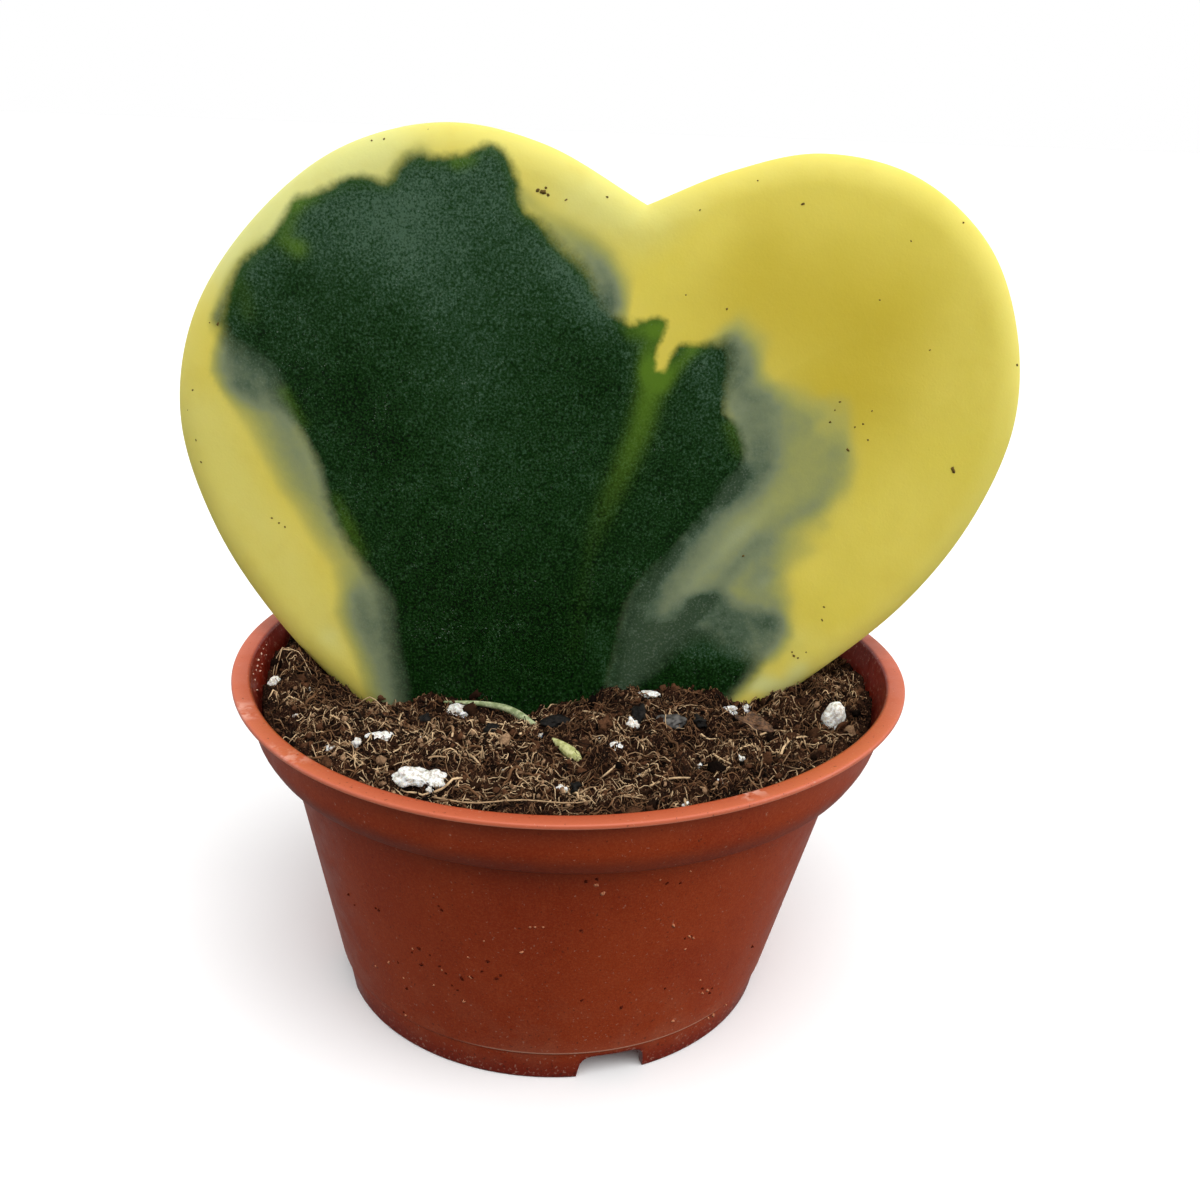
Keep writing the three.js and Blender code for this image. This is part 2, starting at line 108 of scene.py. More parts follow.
# Pot. A thin nursery pot, injection moulded in one piece of terracotta-coloured plastic: a flat flange,
# a collar, a shoulder, a tapered wall, a raised floor with drain holes and a foot ring with four gaps.
# It is a little out of true, as such pots are: its base sits to the left and its rim waves.
RIM_RADIUS = 30.0
POT_HEIGHT = 30.8
WALL_THICKNESS = 0.65
FLANGE_WIDTH = 1.6
FLANGE_THICKNESS = 0.45
COLLAR_RADIUS = 28.7
COLLAR_FOOT_RADIUS = 28.15
COLLAR_FOOT_HEIGHT = 26.4
COLLAR_INNER_RADIUS = 27.8
COLLAR_INNER_HEIGHT = 27.8
SHOULDER_RADIUS = 27.05
SHOULDER_HEIGHT = 24.6
WALL_TOP_RADIUS = 25.4
WALL_FOOT_RADIUS = 20.6
FOOT_RADIUS = 19.85
FOOT_HEIGHT = 3.05
FOOT_WALL = 1.1
FLOOR_UNDERSIDE = 2.5
FLOOR_TOP = 3.2
WALL_ROWS = (3.32, 5.0, 8.0, 11.0, 14.0, 17.0, 20.0, 22.5)
STEP_HIGHLIGHT_HEIGHT = 3.17
PALE_RIM_LINE_HEIGHT = 30.46
POT_LEAN = 0.0335
RIM_WAVE = 0.45
RIM_WAVE_TURN = math.radians(156)
POT_COLUMNS = 288
FOOT_GAP_TURN = math.radians(-73)
DRAIN_RADIUS = 2.2
DRAIN_RING_RADIUS = 12.0
DRAIN_SIDES = 24


def smoothstep(low, high, value):
    """0 below low, 1 above high, and a smooth rise between."""
    share = np.clip((value - low) / (high - low), 0.0, 1.0)
    return share * share * (3 - 2 * share)


def out_of_true(points):
    """The pot's lean and the wave of its rim, for points of a true pot."""
    points = np.array(points, float)
    angle = np.arctan2(points[:, 1], points[:, 0])
    up = np.clip((points[:, 2] - SHOULDER_HEIGHT) / (POT_HEIGHT - SHOULDER_HEIGHT), 0.0, 1.0)
    reach = smoothstep(20.0, 27.0, np.hypot(points[:, 0], points[:, 1]))
    points[:, 2] += RIM_WAVE * up * reach * np.cos(2 * (angle - RIM_WAVE_TURN))
    points[:, 0] -= POT_LEAN * (POT_HEIGHT - points[:, 2])
    return points


def wall_radius(height):
    """Outer radius of the wall between the foot and the shoulder."""
    up = (height - FOOT_HEIGHT) / (SHOULDER_HEIGHT - FOOT_HEIGHT)
    return WALL_FOOT_RADIUS + (WALL_TOP_RADIUS - WALL_FOOT_RADIUS) * up


def rounded(corners, steps=4):
    """A profile of (radius, height, rounding) with an arc at each corner that has a rounding."""
    made = []
    for i, (radius, height, rounding) in enumerate(corners):
        here = np.array([radius, height])
        if rounding == 0 or i in (0, len(corners) - 1):
            made.append(here)
            continue
        back = np.array(corners[i - 1][:2]) - here
        on = np.array(corners[i + 1][:2]) - here
        reach = min(rounding, 0.45 * np.linalg.norm(back), 0.45 * np.linalg.norm(on))
        start = here + back / np.linalg.norm(back) * reach
        end = here + on / np.linalg.norm(on) * reach
        for step in range(steps + 1):
            t = step / steps
            made.append((1 - t) ** 2 * start + 2 * t * (1 - t) * here + t**2 * end)
    return np.array(made)


def new_mesh(name, points, faces):
    """A mesh of these points, in the units they come in, with its faces turned outwards."""
    mesh = bpy.data.meshes.new(name)
    mesh.from_pydata(np.asarray(points).tolist(), [], faces)
    shell = bmesh.new()
    shell.from_mesh(mesh)
    bmesh.ops.recalc_face_normals(shell, faces=shell.faces)
    shell.to_mesh(mesh)
    shell.free()
    mesh.shade_smooth()
    return mesh


def new_piece(name, mesh, material, replaces=()):
    """Puts a piece in the scene: it rides on the plant and stands for the named solids."""
    piece = bpy.data.objects.new(name, mesh)
    bpy.context.scene.collection.objects.link(piece)
    mesh.materials.append(material)
    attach(piece, "root")
    if replaces:
        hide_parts(*replaces)
    return piece


def give(mesh, name, values):
    """Stores one number for each point of a mesh, for its material to read."""
    stored = mesh.attributes.new(name, "FLOAT", "POINT")
    stored.data.foreach_set("value", np.asarray(values, np.float32))


def grid_faces(rows, columns, closed=True, start=0):
    """Four-sided faces between rows of points; closed joins each row's last point to its first."""
    row = np.arange(rows - 1)[:, None] * columns + start
    column = np.arange(columns if closed else columns - 1)[None, :]
    after = (column + 1) % columns
    corners = np.stack([row + column, row + after, row + after + columns, row + column + columns], -1)
    return corners.reshape(-1, 4).tolist()


def colour(red, green, blue):
    """A colour as seen on a screen, 0 to 255, as the light that a surface returns."""
    parts = np.array([red, green, blue]) / 255.0
    linear = np.where(parts <= 0.04045, parts / 12.92, ((parts + 0.055) / 1.055) ** 2.4)
    return (*linear, 1.0)


class Finish:
    """A material built from short calls; each call makes a node and gives back what it puts out."""

    def __init__(self, name):
        self.material = bpy.data.materials.new(name)
        self.material.use_nodes = True
        self.nodes = self.material.node_tree.nodes
        self.links = self.material.node_tree.links
        self.shader = self.nodes["Principled BSDF"]
        self.place = self.nodes.new("ShaderNodeTexCoord").outputs["Object"]

    def plug(self, value, socket):
        """Joins another node's output to a socket, or sets the socket to a plain value."""
        if isinstance(value, bpy.types.NodeSocket):
            self.links.new(value, socket)
        else:
            socket.default_value = value

    def set(self, **values):
        """Sets the shader's own inputs by their names in small letters."""
        for name, value in values.items():
            self.plug(value, self.shader.inputs[name.replace("_", " ").title().replace("Ior", "IOR")])

    def stored(self, name):
        """One of the numbers stored on the mesh."""
        node = self.nodes.new("ShaderNodeAttribute")
        node.attribute_name = name
        return node.outputs["Fac"]

    def noise(self, size, detail=3.0, roughness=0.5, stretch=(1, 1, 1), shift=0.0):
        """Soft random patches about size millimetres across."""
        scaled = self.nodes.new("ShaderNodeMapping")
        scaled.inputs["Scale"].default_value = [k / METRES / size for k in stretch]
        scaled.inputs["Location"].default_value = (shift, shift * 1.7, shift * 2.3)
        self.links.new(self.place, scaled.inputs["Vector"])
        node = self.nodes.new("ShaderNodeTexNoise")
        node.inputs["Scale"].default_value = 1.0
        node.inputs["Detail"].default_value = detail
        node.inputs["Roughness"].default_value = roughness
        self.links.new(scaled.outputs["Vector"], node.inputs["Vector"])
        return node.outputs["Fac"]

    def sum(self, *parts):
        """Adds up values, each given as (value, how much of it)."""
        total = None
        for value, much in parts:
            node = self.nodes.new("ShaderNodeMath")
            node.operation = "MULTIPLY_ADD"
            self.plug(value, node.inputs[0])
            self.plug(much, node.inputs[1])
            self.plug(0.0 if total is None else total, node.inputs[2])
            total = node.outputs["Value"]
        return total

    def ramp(self, value, low, high, to_low=0.0, to_high=1.0):
        """A smooth rise from to_low to to_high as value goes from low to high."""
        node = self.nodes.new("ShaderNodeMapRange")
        node.interpolation_type = "SMOOTHSTEP"
        for name, part in (("Value", value), ("From Min", low), ("From Max", high)):
            self.plug(part, node.inputs[name])
        node.inputs["To Min"].default_value = to_low
        node.inputs["To Max"].default_value = to_high
        return node.outputs["Result"]

    def mix(self, share, first, second):
        """The first colour where share is 0 and the second where it is 1."""
        node = self.nodes.new("ShaderNodeMix")
        node.data_type = "RGBA"
        self.plug(share, node.inputs[0])
        self.plug(first, node.inputs[6])
        self.plug(second, node.inputs[7])
        return node.outputs[2]

    def shades(self, value, stops):
        """A run of colours, each given with the value where it is reached."""
        node = self.nodes.new("ShaderNodeValToRGB")
        run = node.color_ramp.elements
        while len(run) < len(stops):
            run.new(1.0)
        for element, (at, shade) in zip(run, stops):
            element.position = at
            element.color = shade
        self.plug(value, node.inputs["Fac"])
        return node.outputs["Color"]

    def bump(self, height, depth, under=None):
        """Relief of the given depth in millimetres, on top of another relief if there is one."""
        node = self.nodes.new("ShaderNodeBump")
        node.inputs["Distance"].default_value = depth * METRES
        self.plug(height, node.inputs["Height"])
        if under is not None:
            self.links.new(under, node.inputs["Normal"])
        return node.outputs["Normal"]


POT_PROFILE = rounded(
    [
        (0.0, FLOOR_UNDERSIDE, 0),
        (FOOT_RADIUS - FOOT_WALL, FLOOR_UNDERSIDE, 0.2),
        (FOOT_RADIUS - FOOT_WALL + 0.1, 0.0, 0.15),
        (FOOT_RADIUS, 0.0, 0.25),
        (WALL_FOOT_RADIUS - 0.22, FOOT_HEIGHT - 0.1, 0.1),
        (WALL_FOOT_RADIUS, FOOT_HEIGHT + 0.05, 0.12),
        *[(wall_radius(height), height, 0) for height in WALL_ROWS],
        (WALL_TOP_RADIUS, SHOULDER_HEIGHT - 0.1, 0.35),
        (SHOULDER_RADIUS, SHOULDER_HEIGHT, 0.5),
        (COLLAR_FOOT_RADIUS, COLLAR_FOOT_HEIGHT, 1.0),
        (COLLAR_RADIUS, POT_HEIGHT - FLANGE_THICKNESS, 0.3),
        (RIM_RADIUS, POT_HEIGHT - FLANGE_THICKNESS, 0.16),
        (RIM_RADIUS, POT_HEIGHT, 0.22),
        (RIM_RADIUS - FLANGE_WIDTH, POT_HEIGHT, 0.3),
        (COLLAR_INNER_RADIUS, COLLAR_INNER_HEIGHT, 1.0),
        (SHOULDER_RADIUS - WALL_THICKNESS, SHOULDER_HEIGHT + 0.5, 0.5),
        (WALL_TOP_RADIUS - WALL_THICKNESS, SHOULDER_HEIGHT + 0.2, 0.5),
        (wall_radius(14.0) - WALL_THICKNESS, 14.0, 0),
        (WALL_FOOT_RADIUS - WALL_THICKNESS, FLOOR_TOP, 0.4),
        (0.0, FLOOR_TOP, 0),
    ]
)


def turned(profile, columns):
    """A profile turned about the upright axis; it starts and ends on the axis."""
    turn_by = np.arange(columns) * 2 * math.pi / columns
    rows = profile[1:-1]
    x = rows[:, :1] * np.cos(turn_by)
    y = rows[:, :1] * np.sin(turn_by)
    z = np.repeat(rows[:, 1:], columns, 1)
    points = np.stack([x, y, z], -1).reshape(-1, 3)
    ends = [[0.0, 0.0, profile[0][1]], [0.0, 0.0, profile[-1][1]]]
    faces = grid_faces(len(rows), columns)
    first = len(points)
    last_row = first - columns
    for i in range(columns):
        after = (i + 1) % columns
        faces.append([first, i, after])
        faces.append([first + 1, last_row + i, last_row + after])
    return np.vstack([points, ends]), faces


def prism(outline, low, high):
    """An outline drawn flat and drawn out between two heights."""
    count = len(outline)
    points = [[x, y, z] for z in (low, high) for x, y in outline]
    faces = grid_faces(2, count)
    faces.append(list(range(count)))
    faces.append(list(range(count, 2 * count)))
    return np.array(points), faces


# What is cut out of the turned pot: each gap in the foot and, behind it, a drain hole in the floor.
GAP_OUTLINE = rounded(
    [(-3.1, -1.0, 0), (-2.75, 2.45, 1.2), (2.75, 2.45, 1.2), (3.1, -1.0, 0)], steps=6
)
drain_turns = np.arange(DRAIN_SIDES) * 2 * math.pi / DRAIN_SIDES
DRAIN_OUTLINE = np.stack([DRAIN_RADIUS * np.cos(drain_turns), DRAIN_RADIUS * np.sin(drain_turns)], -1)
cut_points = []
cut_faces = []
for quarter in range(4):
    angle = FOOT_GAP_TURN + quarter * math.pi / 2
    gap, gap_faces = prism(GAP_OUTLINE, FOOT_RADIUS - 5.0, FOOT_RADIUS + 3.0)
    x = gap[:, 2] * math.cos(angle) - gap[:, 0] * math.sin(angle)
    y = gap[:, 2] * math.sin(angle) + gap[:, 0] * math.cos(angle)
    drain, drain_faces = prism(DRAIN_OUTLINE, 1.0, 5.0)
    drain += (DRAIN_RING_RADIUS * math.cos(angle), DRAIN_RING_RADIUS * math.sin(angle), 0.0)
    for points, faces in ((np.stack([x, y, gap[:, 1]], -1), gap_faces), (drain, drain_faces)):
        start = len(cut_points)
        cut_points.extend(points.tolist())
        cut_faces.extend([[start + i for i in face] for face in faces])

pot_points, pot_faces = turned(POT_PROFILE, POT_COLUMNS)
blank = bpy.data.objects.new("blank", new_mesh("blank", pot_points, pot_faces))
cutter = bpy.data.objects.new("cutter", new_mesh("cutter", cut_points, cut_faces))
for made in (blank, cutter):
    bpy.context.scene.collection.objects.link(made)
cut = blank.modifiers.new("gaps", "BOOLEAN")
cut.operation = "DIFFERENCE"
cut.object = cutter
bpy.context.view_layer.update()
pot_mesh = bpy.data.meshes.new_from_object(blank.evaluated_get(bpy.context.evaluated_depsgraph_get()))
pot_mesh.name = "pot_shell"
for made in (blank, cutter):
    bpy.data.objects.remove(made)

true_points = np.empty(len(pot_mesh.vertices) * 3)
pot_mesh.vertices.foreach_get("co", true_points)
true_points = true_points.reshape(-1, 3)
pot_radius = np.hypot(true_points[:, 0], true_points[:, 1])
pot_height = true_points[:, 2]
bent_points = out_of_true(true_points)
pot_mesh.vertices.foreach_set("co", in_frame(bent_points).ravel())


def near_spots(points, spots):
    """How strongly each point lies in soft round spots, each given as (middle, radius)."""
    total = np.zeros(len(points))
    for middle, radius in spots:
        away = np.linalg.norm(points - np.array(middle), axis=1)
        total += np.exp(-((away / radius) ** 2))
    return np.clip(total, 0.0, 1.0)


# Where the flange is rubbed pale, as pixels of the photograph with a radius in millimetres, and scratches
# on its right side.
RUBBED_RIM = [
    *[((288, 751), 0.6), ((299, 756), 0.6), ((747, 796), 0.5), ((760, 794), 0.5), ((243, 705), 0.6)],
    *[((275, 743), 0.4), ((246, 714), 0.5)],
]
SCRATCHES = [
    *[((885, 657), 0.16), ((891, 664), 0.16), ((886, 718), 0.2), ((866, 745), 0.16), ((858, 751), 0.2)],
    *[((892, 690), 0.16), ((875, 640), 0.2)],
]
flange = smoothstep(28.35, 28.6, pot_radius) * smoothstep(30.2, 30.5, pot_height)
rubbed_at = [(seen_at_height(at, POT_HEIGHT), size) for at, size in RUBBED_RIM]
scratched_at = [(seen_at_height(at, POT_HEIGHT), size) for at, size in SCRATCHES]
rubbed = near_spots(bent_points, rubbed_at)
scratched = near_spots(bent_points, scratched_at)
outer_heights = [FOOT_HEIGHT, SHOULDER_HEIGHT - 0.1, SHOULDER_HEIGHT, COLLAR_FOOT_HEIGHT, POT_HEIGHT]
outer_radii = [WALL_FOOT_RADIUS, WALL_TOP_RADIUS, SHOULDER_RADIUS, COLLAR_FOOT_RADIUS, 28.74]
inner_face = pot_radius < np.interp(pot_height, outer_heights, outer_radii) - 0.25
give(pot_mesh, "rubbed", rubbed * flange)
give(pot_mesh, "scratched", scratched * flange)
give(pot_mesh, "inner", inner_face)
# The flange is painted lighter than the wall: partly its rubbed plastic, partly a painted highlight where its
# top catches the light.
give(pot_mesh, "flange", smoothstep(28.5, 28.9, pot_radius) * smoothstep(29.9, 30.2, pot_height))
# A thin pale line low on the rim's outer face.
pale_rim_line = (pot_radius > 29.9) * np.exp(-(((pot_height - PALE_RIM_LINE_HEIGHT) / 0.05) ** 2))
give(pot_mesh, "pale_rim_line", pale_rim_line)
lit_part = smoothstep(-9.0, -3.0, true_points[:, 0]) * (1 - smoothstep(13.0, 16.0, true_points[:, 0]))
# Painted highlight: a thin pale line on the rounded corner of the step above the foot, only on the lit front.
step = np.exp(-(((pot_height - STEP_HIGHLIGHT_HEIGHT) / 0.09) ** 2)) * (pot_radius > 20.2)
give(pot_mesh, "step_highlight", step * lit_part * (true_points[:, 1] < 0))
give(pot_mesh, "low", 1 - smoothstep(2.0, 13.0, pot_height))
pot_mesh.shade_smooth()
pot_mesh.set_sharp_from_angle(angle=math.radians(48))

plastic = Finish("terracotta_plastic")
cloudy = plastic.noise(9.0, 2.0)
fine = plastic.noise(0.2, 3.0, 0.7)
grit = plastic.noise(0.32, 2.0, 0.6, shift=5.0)
streaky = plastic.noise(1.1, 3.0, 0.6, stretch=(1, 1, 0.12))
tone = plastic.mix(plastic.ramp(cloudy, 0.35, 0.65), colour(140, 43, 4), colour(148, 50, 8))
tone = plastic.mix(plastic.ramp(streaky, 0.5, 0.8, 0.0, 0.14), tone, colour(176, 80, 40))
tone = plastic.mix(plastic.ramp(fine, 0.4, 0.68, 0.0, 0.22), tone, colour(190, 96, 52))
# Painted highlight, with some wear: the flange is lighter than the wall.
tone = plastic.mix(plastic.sum((plastic.stored("flange"), 0.88)), tone, colour(197, 101, 70))
dusty = plastic.sum((plastic.ramp(plastic.noise(2.4, 3.0), 0.45, 0.65), plastic.stored("low")))
tone = plastic.mix(plastic.sum((dusty, 0.12)), tone, colour(170, 112, 84))
# Painted shade: the inner face is painted darker and deeper red, for the shade inside the pot.
tone = plastic.mix(plastic.sum((plastic.stored("inner"), 0.93)), tone, colour(110, 22, 6))
# Pale and dark specks of soil dust, thickest low down and inside.
spotted = plastic.sum((plastic.stored("low"), 0.02), (plastic.stored("inner"), 0.07), (1.0, 0.02))
pale_specks = plastic.ramp(plastic.sum((grit, 1.0), (spotted, 1.0)), 0.7, 0.75, 0.0, 0.3)
tone = plastic.mix(pale_specks, tone, colour(208, 170, 148))
dark_specks = plastic.ramp(plastic.sum((grit, -1.0), (spotted, 1.0)), -0.31, -0.26, 0.0, 0.6)
tone = plastic.mix(dark_specks, tone, colour(66, 26, 12))
worn = plastic.sum((plastic.stored("rubbed"), plastic.ramp(plastic.noise(0.7, 4.0), 0.4, 0.56)))
tone = plastic.mix(plastic.sum((worn, 0.8)), tone, colour(240, 190, 174))
tone = plastic.mix(plastic.sum((plastic.stored("scratched"), 0.7)), tone, colour(76, 26, 14))
tone = plastic.mix(plastic.sum((plastic.stored("pale_rim_line"), 0.45)), tone, colour(226, 150, 122))
# Painted highlight along the step above the foot.
tone = plastic.mix(plastic.sum((plastic.stored("step_highlight"), 0.8)), tone, colour(215, 160, 134))
plastic.set(
    base_color=tone,
    roughness=plastic.ramp(plastic.noise(2.2, 4.0), 0.3, 0.7, 0.36, 0.5),
    normal=plastic.bump(fine, 0.014, plastic.bump(plastic.noise(5.0, 2.0), 0.05)),
    specular_ior_level=0.4,
)
pot = new_piece("pot_shell", pot_mesh, plastic.material, ["pot"])
flat_faces = pot.modifiers.new("flat_faces", "WEIGHTED_NORMAL")
flat_faces.keep_sharp = True


# Soil. Loose peat with coir: a heaped bed that fills the pot, with crumbs and clods on it and fibres of
# coir through it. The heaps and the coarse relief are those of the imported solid, with a few clumps more.
SOIL_LEVEL = 28.15
SOIL_RADIUS = 27.45
SOIL_CELLS = 220
# Where the soil is heaped, or hollow in front of the leaf: x, y, how high and how wide.
SOIL_HEAPS = [
    (-4.0, -3.0, -2.2, 6.0),
    (-13.0, -2.0, -1.6, 4.5),
    (8.5, -2.6, 0.6, 4.0),
    (16.0, -2.6, -1.1, 3.0),
    (21.0, -2.0, 0.7, 3.0),
    (-24.5, 7.0, 1.0, 4.4),
    (14.0, 14.0, 0.9, 7.0),
    (-6.0, 17.0, 0.7, 7.0),
]
# Clumps that stand up at the sides of the leaf and hollows at its face: x, y, how high and how wide.
CLUMPS = [
    (-25.1, 1.9, 1.1, 2.0),
    (22.2, -3.7, 0.9, 1.5),
    (-18.4, -1.2, -2.3, 4.0),
    (-5.0, -1.6, -0.4, 8.0),
    (12.0, -2.2, -0.45, 3.5),
    (17.2, -2.6, -0.8, 2.6),
]
# Where pale fibres lie thickest, as pixels of the photograph with a width in millimetres.
PALE_PATCHES = [((600, 798), 4.0), ((470, 765), 5.0), ((780, 705), 3.0), ((350, 770), 3.0)]


def scatter(a, b, seed):
    """A steady number between 0 and 1 for each whole-number place."""
    wave = np.sin(a * 127.1 + b * 311.7 + seed * 74.7) * 43758.5453
    return wave - np.floor(wave)


def relief(x, y, size, seed):
    """Smooth random relief between 0 and 1, with lumps of the given size."""
    u = np.asarray(x) / size
    v = np.asarray(y) / size
    a = np.floor(u)
    b = np.floor(v)
    s = smoothstep(0.0, 1.0, u - a)
    t = smoothstep(0.0, 1.0, v - b)
    near = scatter(a, b, seed) * (1 - s) + scatter(a + 1, b, seed) * s
    far = scatter(a, b + 1, seed) * (1 - s) + scatter(a + 1, b + 1, seed) * s
    return near * (1 - t) + far * t


def soil_height(x, y):
    """Height of the bed, with its heaps and coarse relief."""
    height = SOIL_LEVEL + 0.9 * (relief(x, y, 4.2, 1) - 0.5) + 1.1 * (relief(x, y, 1.9, 2) - 0.5)
    for heap_x, heap_y, rise, width in SOIL_HEAPS + CLUMPS:
        height = height + rise * np.exp(-((x - heap_x) ** 2 + (y - heap_y) ** 2) / width**2)
    return height


def crumbly(x, y):
    """The bed's fine crumbly relief, three sizes of lump with creases between them."""
    total = np.zeros_like(x)
    for size, depth, seed in ((1.7, 0.8, 4), (0.9, 0.8, 5), (0.5, 0.4, 6)):
        skew_x = 0.8 * x + 0.6 * y
        skew_y = 0.8 * y - 0.6 * x
        lump = 1 - np.abs(2 * relief(skew_x, skew_y, size, seed) - 1)
        total += depth * (lump - 0.5)
    return total


cell = np.linspace(-1.0, 1.0, SOIL_CELLS + 1)
u, v = np.meshgrid(cell, cell)
wide = np.abs(u) >= np.abs(v)
reach = np.where(wide, u, v)
lean = np.divide(np.where(wide, v, u), reach, out=np.zeros_like(reach), where=np.abs(reach) > 1e-9)
lean *= math.pi / 4
soil_x = SOIL_RADIUS * np.where(wide, reach * np.cos(lean), reach * np.sin(lean)).ravel()
soil_y = SOIL_RADIUS * np.where(wide, reach * np.sin(lean), reach * np.cos(lean)).ravel()
soil_z = soil_height(soil_x, soil_y) + crumbly(soil_x, soil_y)
bed_points = np.stack([soil_x, soil_y, soil_z], -1)
bed_faces = grid_faces(SOIL_CELLS + 1, SOIL_CELLS + 1, closed=False)
side = SOIL_CELLS + 1
corner = np.arange(SOIL_CELLS)
border = np.concatenate(
    [
        corner,
        corner * side + SOIL_CELLS,
        SOIL_CELLS * side + SOIL_CELLS - corner,
        (SOIL_CELLS - corner) * side,
    ]
)
border_turn = np.arctan2(soil_y[border], soil_x[border])
# Below the surface the plug follows the pot's inner wall down to the floor.
PLUG_SIDES = [(26.1, 25.4), (24.5, 24.9), (19.6, 4.4), (19.2, 3.35)]
rings = [bed_points]
for radius, height in PLUG_SIDES:
    ring = [radius * np.cos(border_turn), radius * np.sin(border_turn), np.full(len(border), height)]
    rings.append(np.stack(ring, -1))
plug_points = np.vstack(rings)
upper = border
for ring in range(len(PLUG_SIDES)):
    lower = len(bed_points) + ring * len(border) + np.arange(len(border))
    quads = np.stack([upper, np.roll(upper, -1), np.roll(lower, -1), lower], -1)
    bed_faces += quads.tolist()
    upper = lower
bed_faces.append(upper.tolist())

bed_mesh = new_mesh("soil_bed", in_frame(out_of_true(plug_points)), bed_faces)
give(bed_mesh, "raised", crumbly(plug_points[:, 0], plug_points[:, 1]))
peat = Finish("peat")
grain = peat.noise(0.22, 4.0, 0.7)
patch = peat.noise(2.6, 3.0, 0.6)
tone = peat.mix(peat.ramp(grain, 0.38, 0.66), colour(5, 3, 2), colour(50, 29, 19))
tone = peat.mix(peat.ramp(patch, 0.45, 0.7, 0.0, 0.4), tone, colour(66, 41, 27))
flecks = peat.ramp(peat.noise(0.16, 2.0, shift=4.0), 0.62, 0.72, 0.0, 0.8)
tone = peat.mix(flecks, tone, colour(150, 114, 84))
# Painted shade: the bed is darkened in its creases, where its crumbly relief is low.
tone = peat.mix(peat.ramp(peat.stored("raised"), 0.25, -0.5, 0.0, 0.92), tone, colour(2, 1, 1))
peat.set(base_color=tone, roughness=0.92, normal=peat.bump(grain, 0.12), specular_ior_level=0.05)
new_piece("soil_bed", bed_mesh, peat.material, ["soil"])

unit_balls = {}


def ball(fineness):
    """The points and faces of a round ball of small triangles."""
    if fineness not in unit_balls:
        shape = bmesh.new()
        bmesh.ops.create_icosphere(shape, subdivisions=fineness, radius=1.0)
        points = np.array([v.co[:] for v in shape.verts])
        faces = np.array([[v.index for v in f.verts] for f in shape.faces])
        shape.free()
        unit_balls[fineness] = (points, faces)
    return unit_balls[fineness]


def turning(angles):
    """Turning matrices for rows of angles about x, y and z."""
    made = np.tile(np.eye(3), (len(angles), 1, 1))
    for axis in range(3):
        a = (axis + 1) % 3
        b = (axis + 2) % 3
        step = np.tile(np.eye(3), (len(angles), 1, 1))
        step[:, a, a] = step[:, b, b] = np.cos(angles[:, axis])
        step[:, b, a] = np.sin(angles[:, axis])
        step[:, a, b] = -np.sin(angles[:, axis])
        made = step @ made
    return made


def lumps(middles, halves, angles, rough, seeds, fineness):
    """Many uneven lumps in one go: balls pushed in and out by waves, then sized, turned and placed."""
    points, faces = ball(fineness)
    x, y, z = points.T
    seeds = np.asarray(seeds, float)[:, None]
    wave = np.sin(3.1 * x + 2.3 * y + seeds) + np.sin(4.7 * y - 3.9 * z + 2 * seeds)
    wave = wave + np.sin(5.3 * z + 4.1 * x + 3 * seeds) + 0.6 * np.sin(9.1 * x - 8.3 * z + 5 * seeds)
    shaped = points[None] * (1 + rough * wave[..., None] / 2) * np.asarray(halves)[:, None]
    placed = np.einsum("nij,nkj->nki", turning(np.asarray(angles)), shaped)
    placed = placed + np.asarray(middles)[:, None]
    starts = np.arange(len(placed))[:, None, None] * len(points)
    return placed.reshape(-1, 3), (faces[None] + starts).reshape(-1, 3)


# The larger things that lie on the bed, as (x, y, radius); crumbs and fibres keep off them.
LYING_THINGS = [
    (-10.9, -20.4, 2.1),
    (-15.3, -13.1, 1.2),
    (23.2, -6.9, 1.2),
    (4.2, -13.7, 0.8),
    (7.3, -2.5, 0.9),
    (14.6, -3.2, 0.9),
    (-26.5, -3.0, 0.7),
    (-9.9, -4.6, 1.0),
    (8.9, -8.8, 1.2),
    (-1.0, -6.3, 1.3),
    (16.4, -8.4, 1.7),
    (-9.2, -2.4, 0.7),
    (-7.4, -2.7, 0.7),
    (-5.5, -3.6, 0.7),
    (-3.8, -4.9, 0.7),
    (-0.5, -13.7, 0.8),
    (0.7, -15.2, 0.8),
]


def random_spots(random, count, radius, margin=0.2):
    """Even random places on the bed, off the things that lie on it."""
    x = np.empty(0)
    y = np.empty(0)
    while len(x) < count:
        away = radius * np.sqrt(random.random(count))
        angle = random.random(count) * 2 * math.pi
        new_x = away * np.cos(angle)
        new_y = away * np.sin(angle)
        free = np.ones(count, bool)
        for thing_x, thing_y, thing_radius in LYING_THINGS:
            free &= np.hypot(new_x - thing_x, new_y - thing_y) > thing_radius + margin
        x = np.concatenate([x, new_x[free]])
        y = np.concatenate([y, new_y[free]])
    return x[:count], y[:count]


def lightness(x, y):
    """How light things on the bed are there: darker in its creases, which is painted shade, and in random
    patches.
    """
    light = smoothstep(-1.1, 0.3, crumbly(x, y)) * (0.45 + 0.8 * relief(x, y, 3.1, 61))
    for pixel, width in PALE_PATCHES:
        middle = seen_at_height(pixel, SOIL_LEVEL)
        light = light * (1 + 0.5 * np.exp(-((x - middle[0]) ** 2 + (y - middle[1]) ** 2) / width**2))
    return np.minimum(light, 1.2)


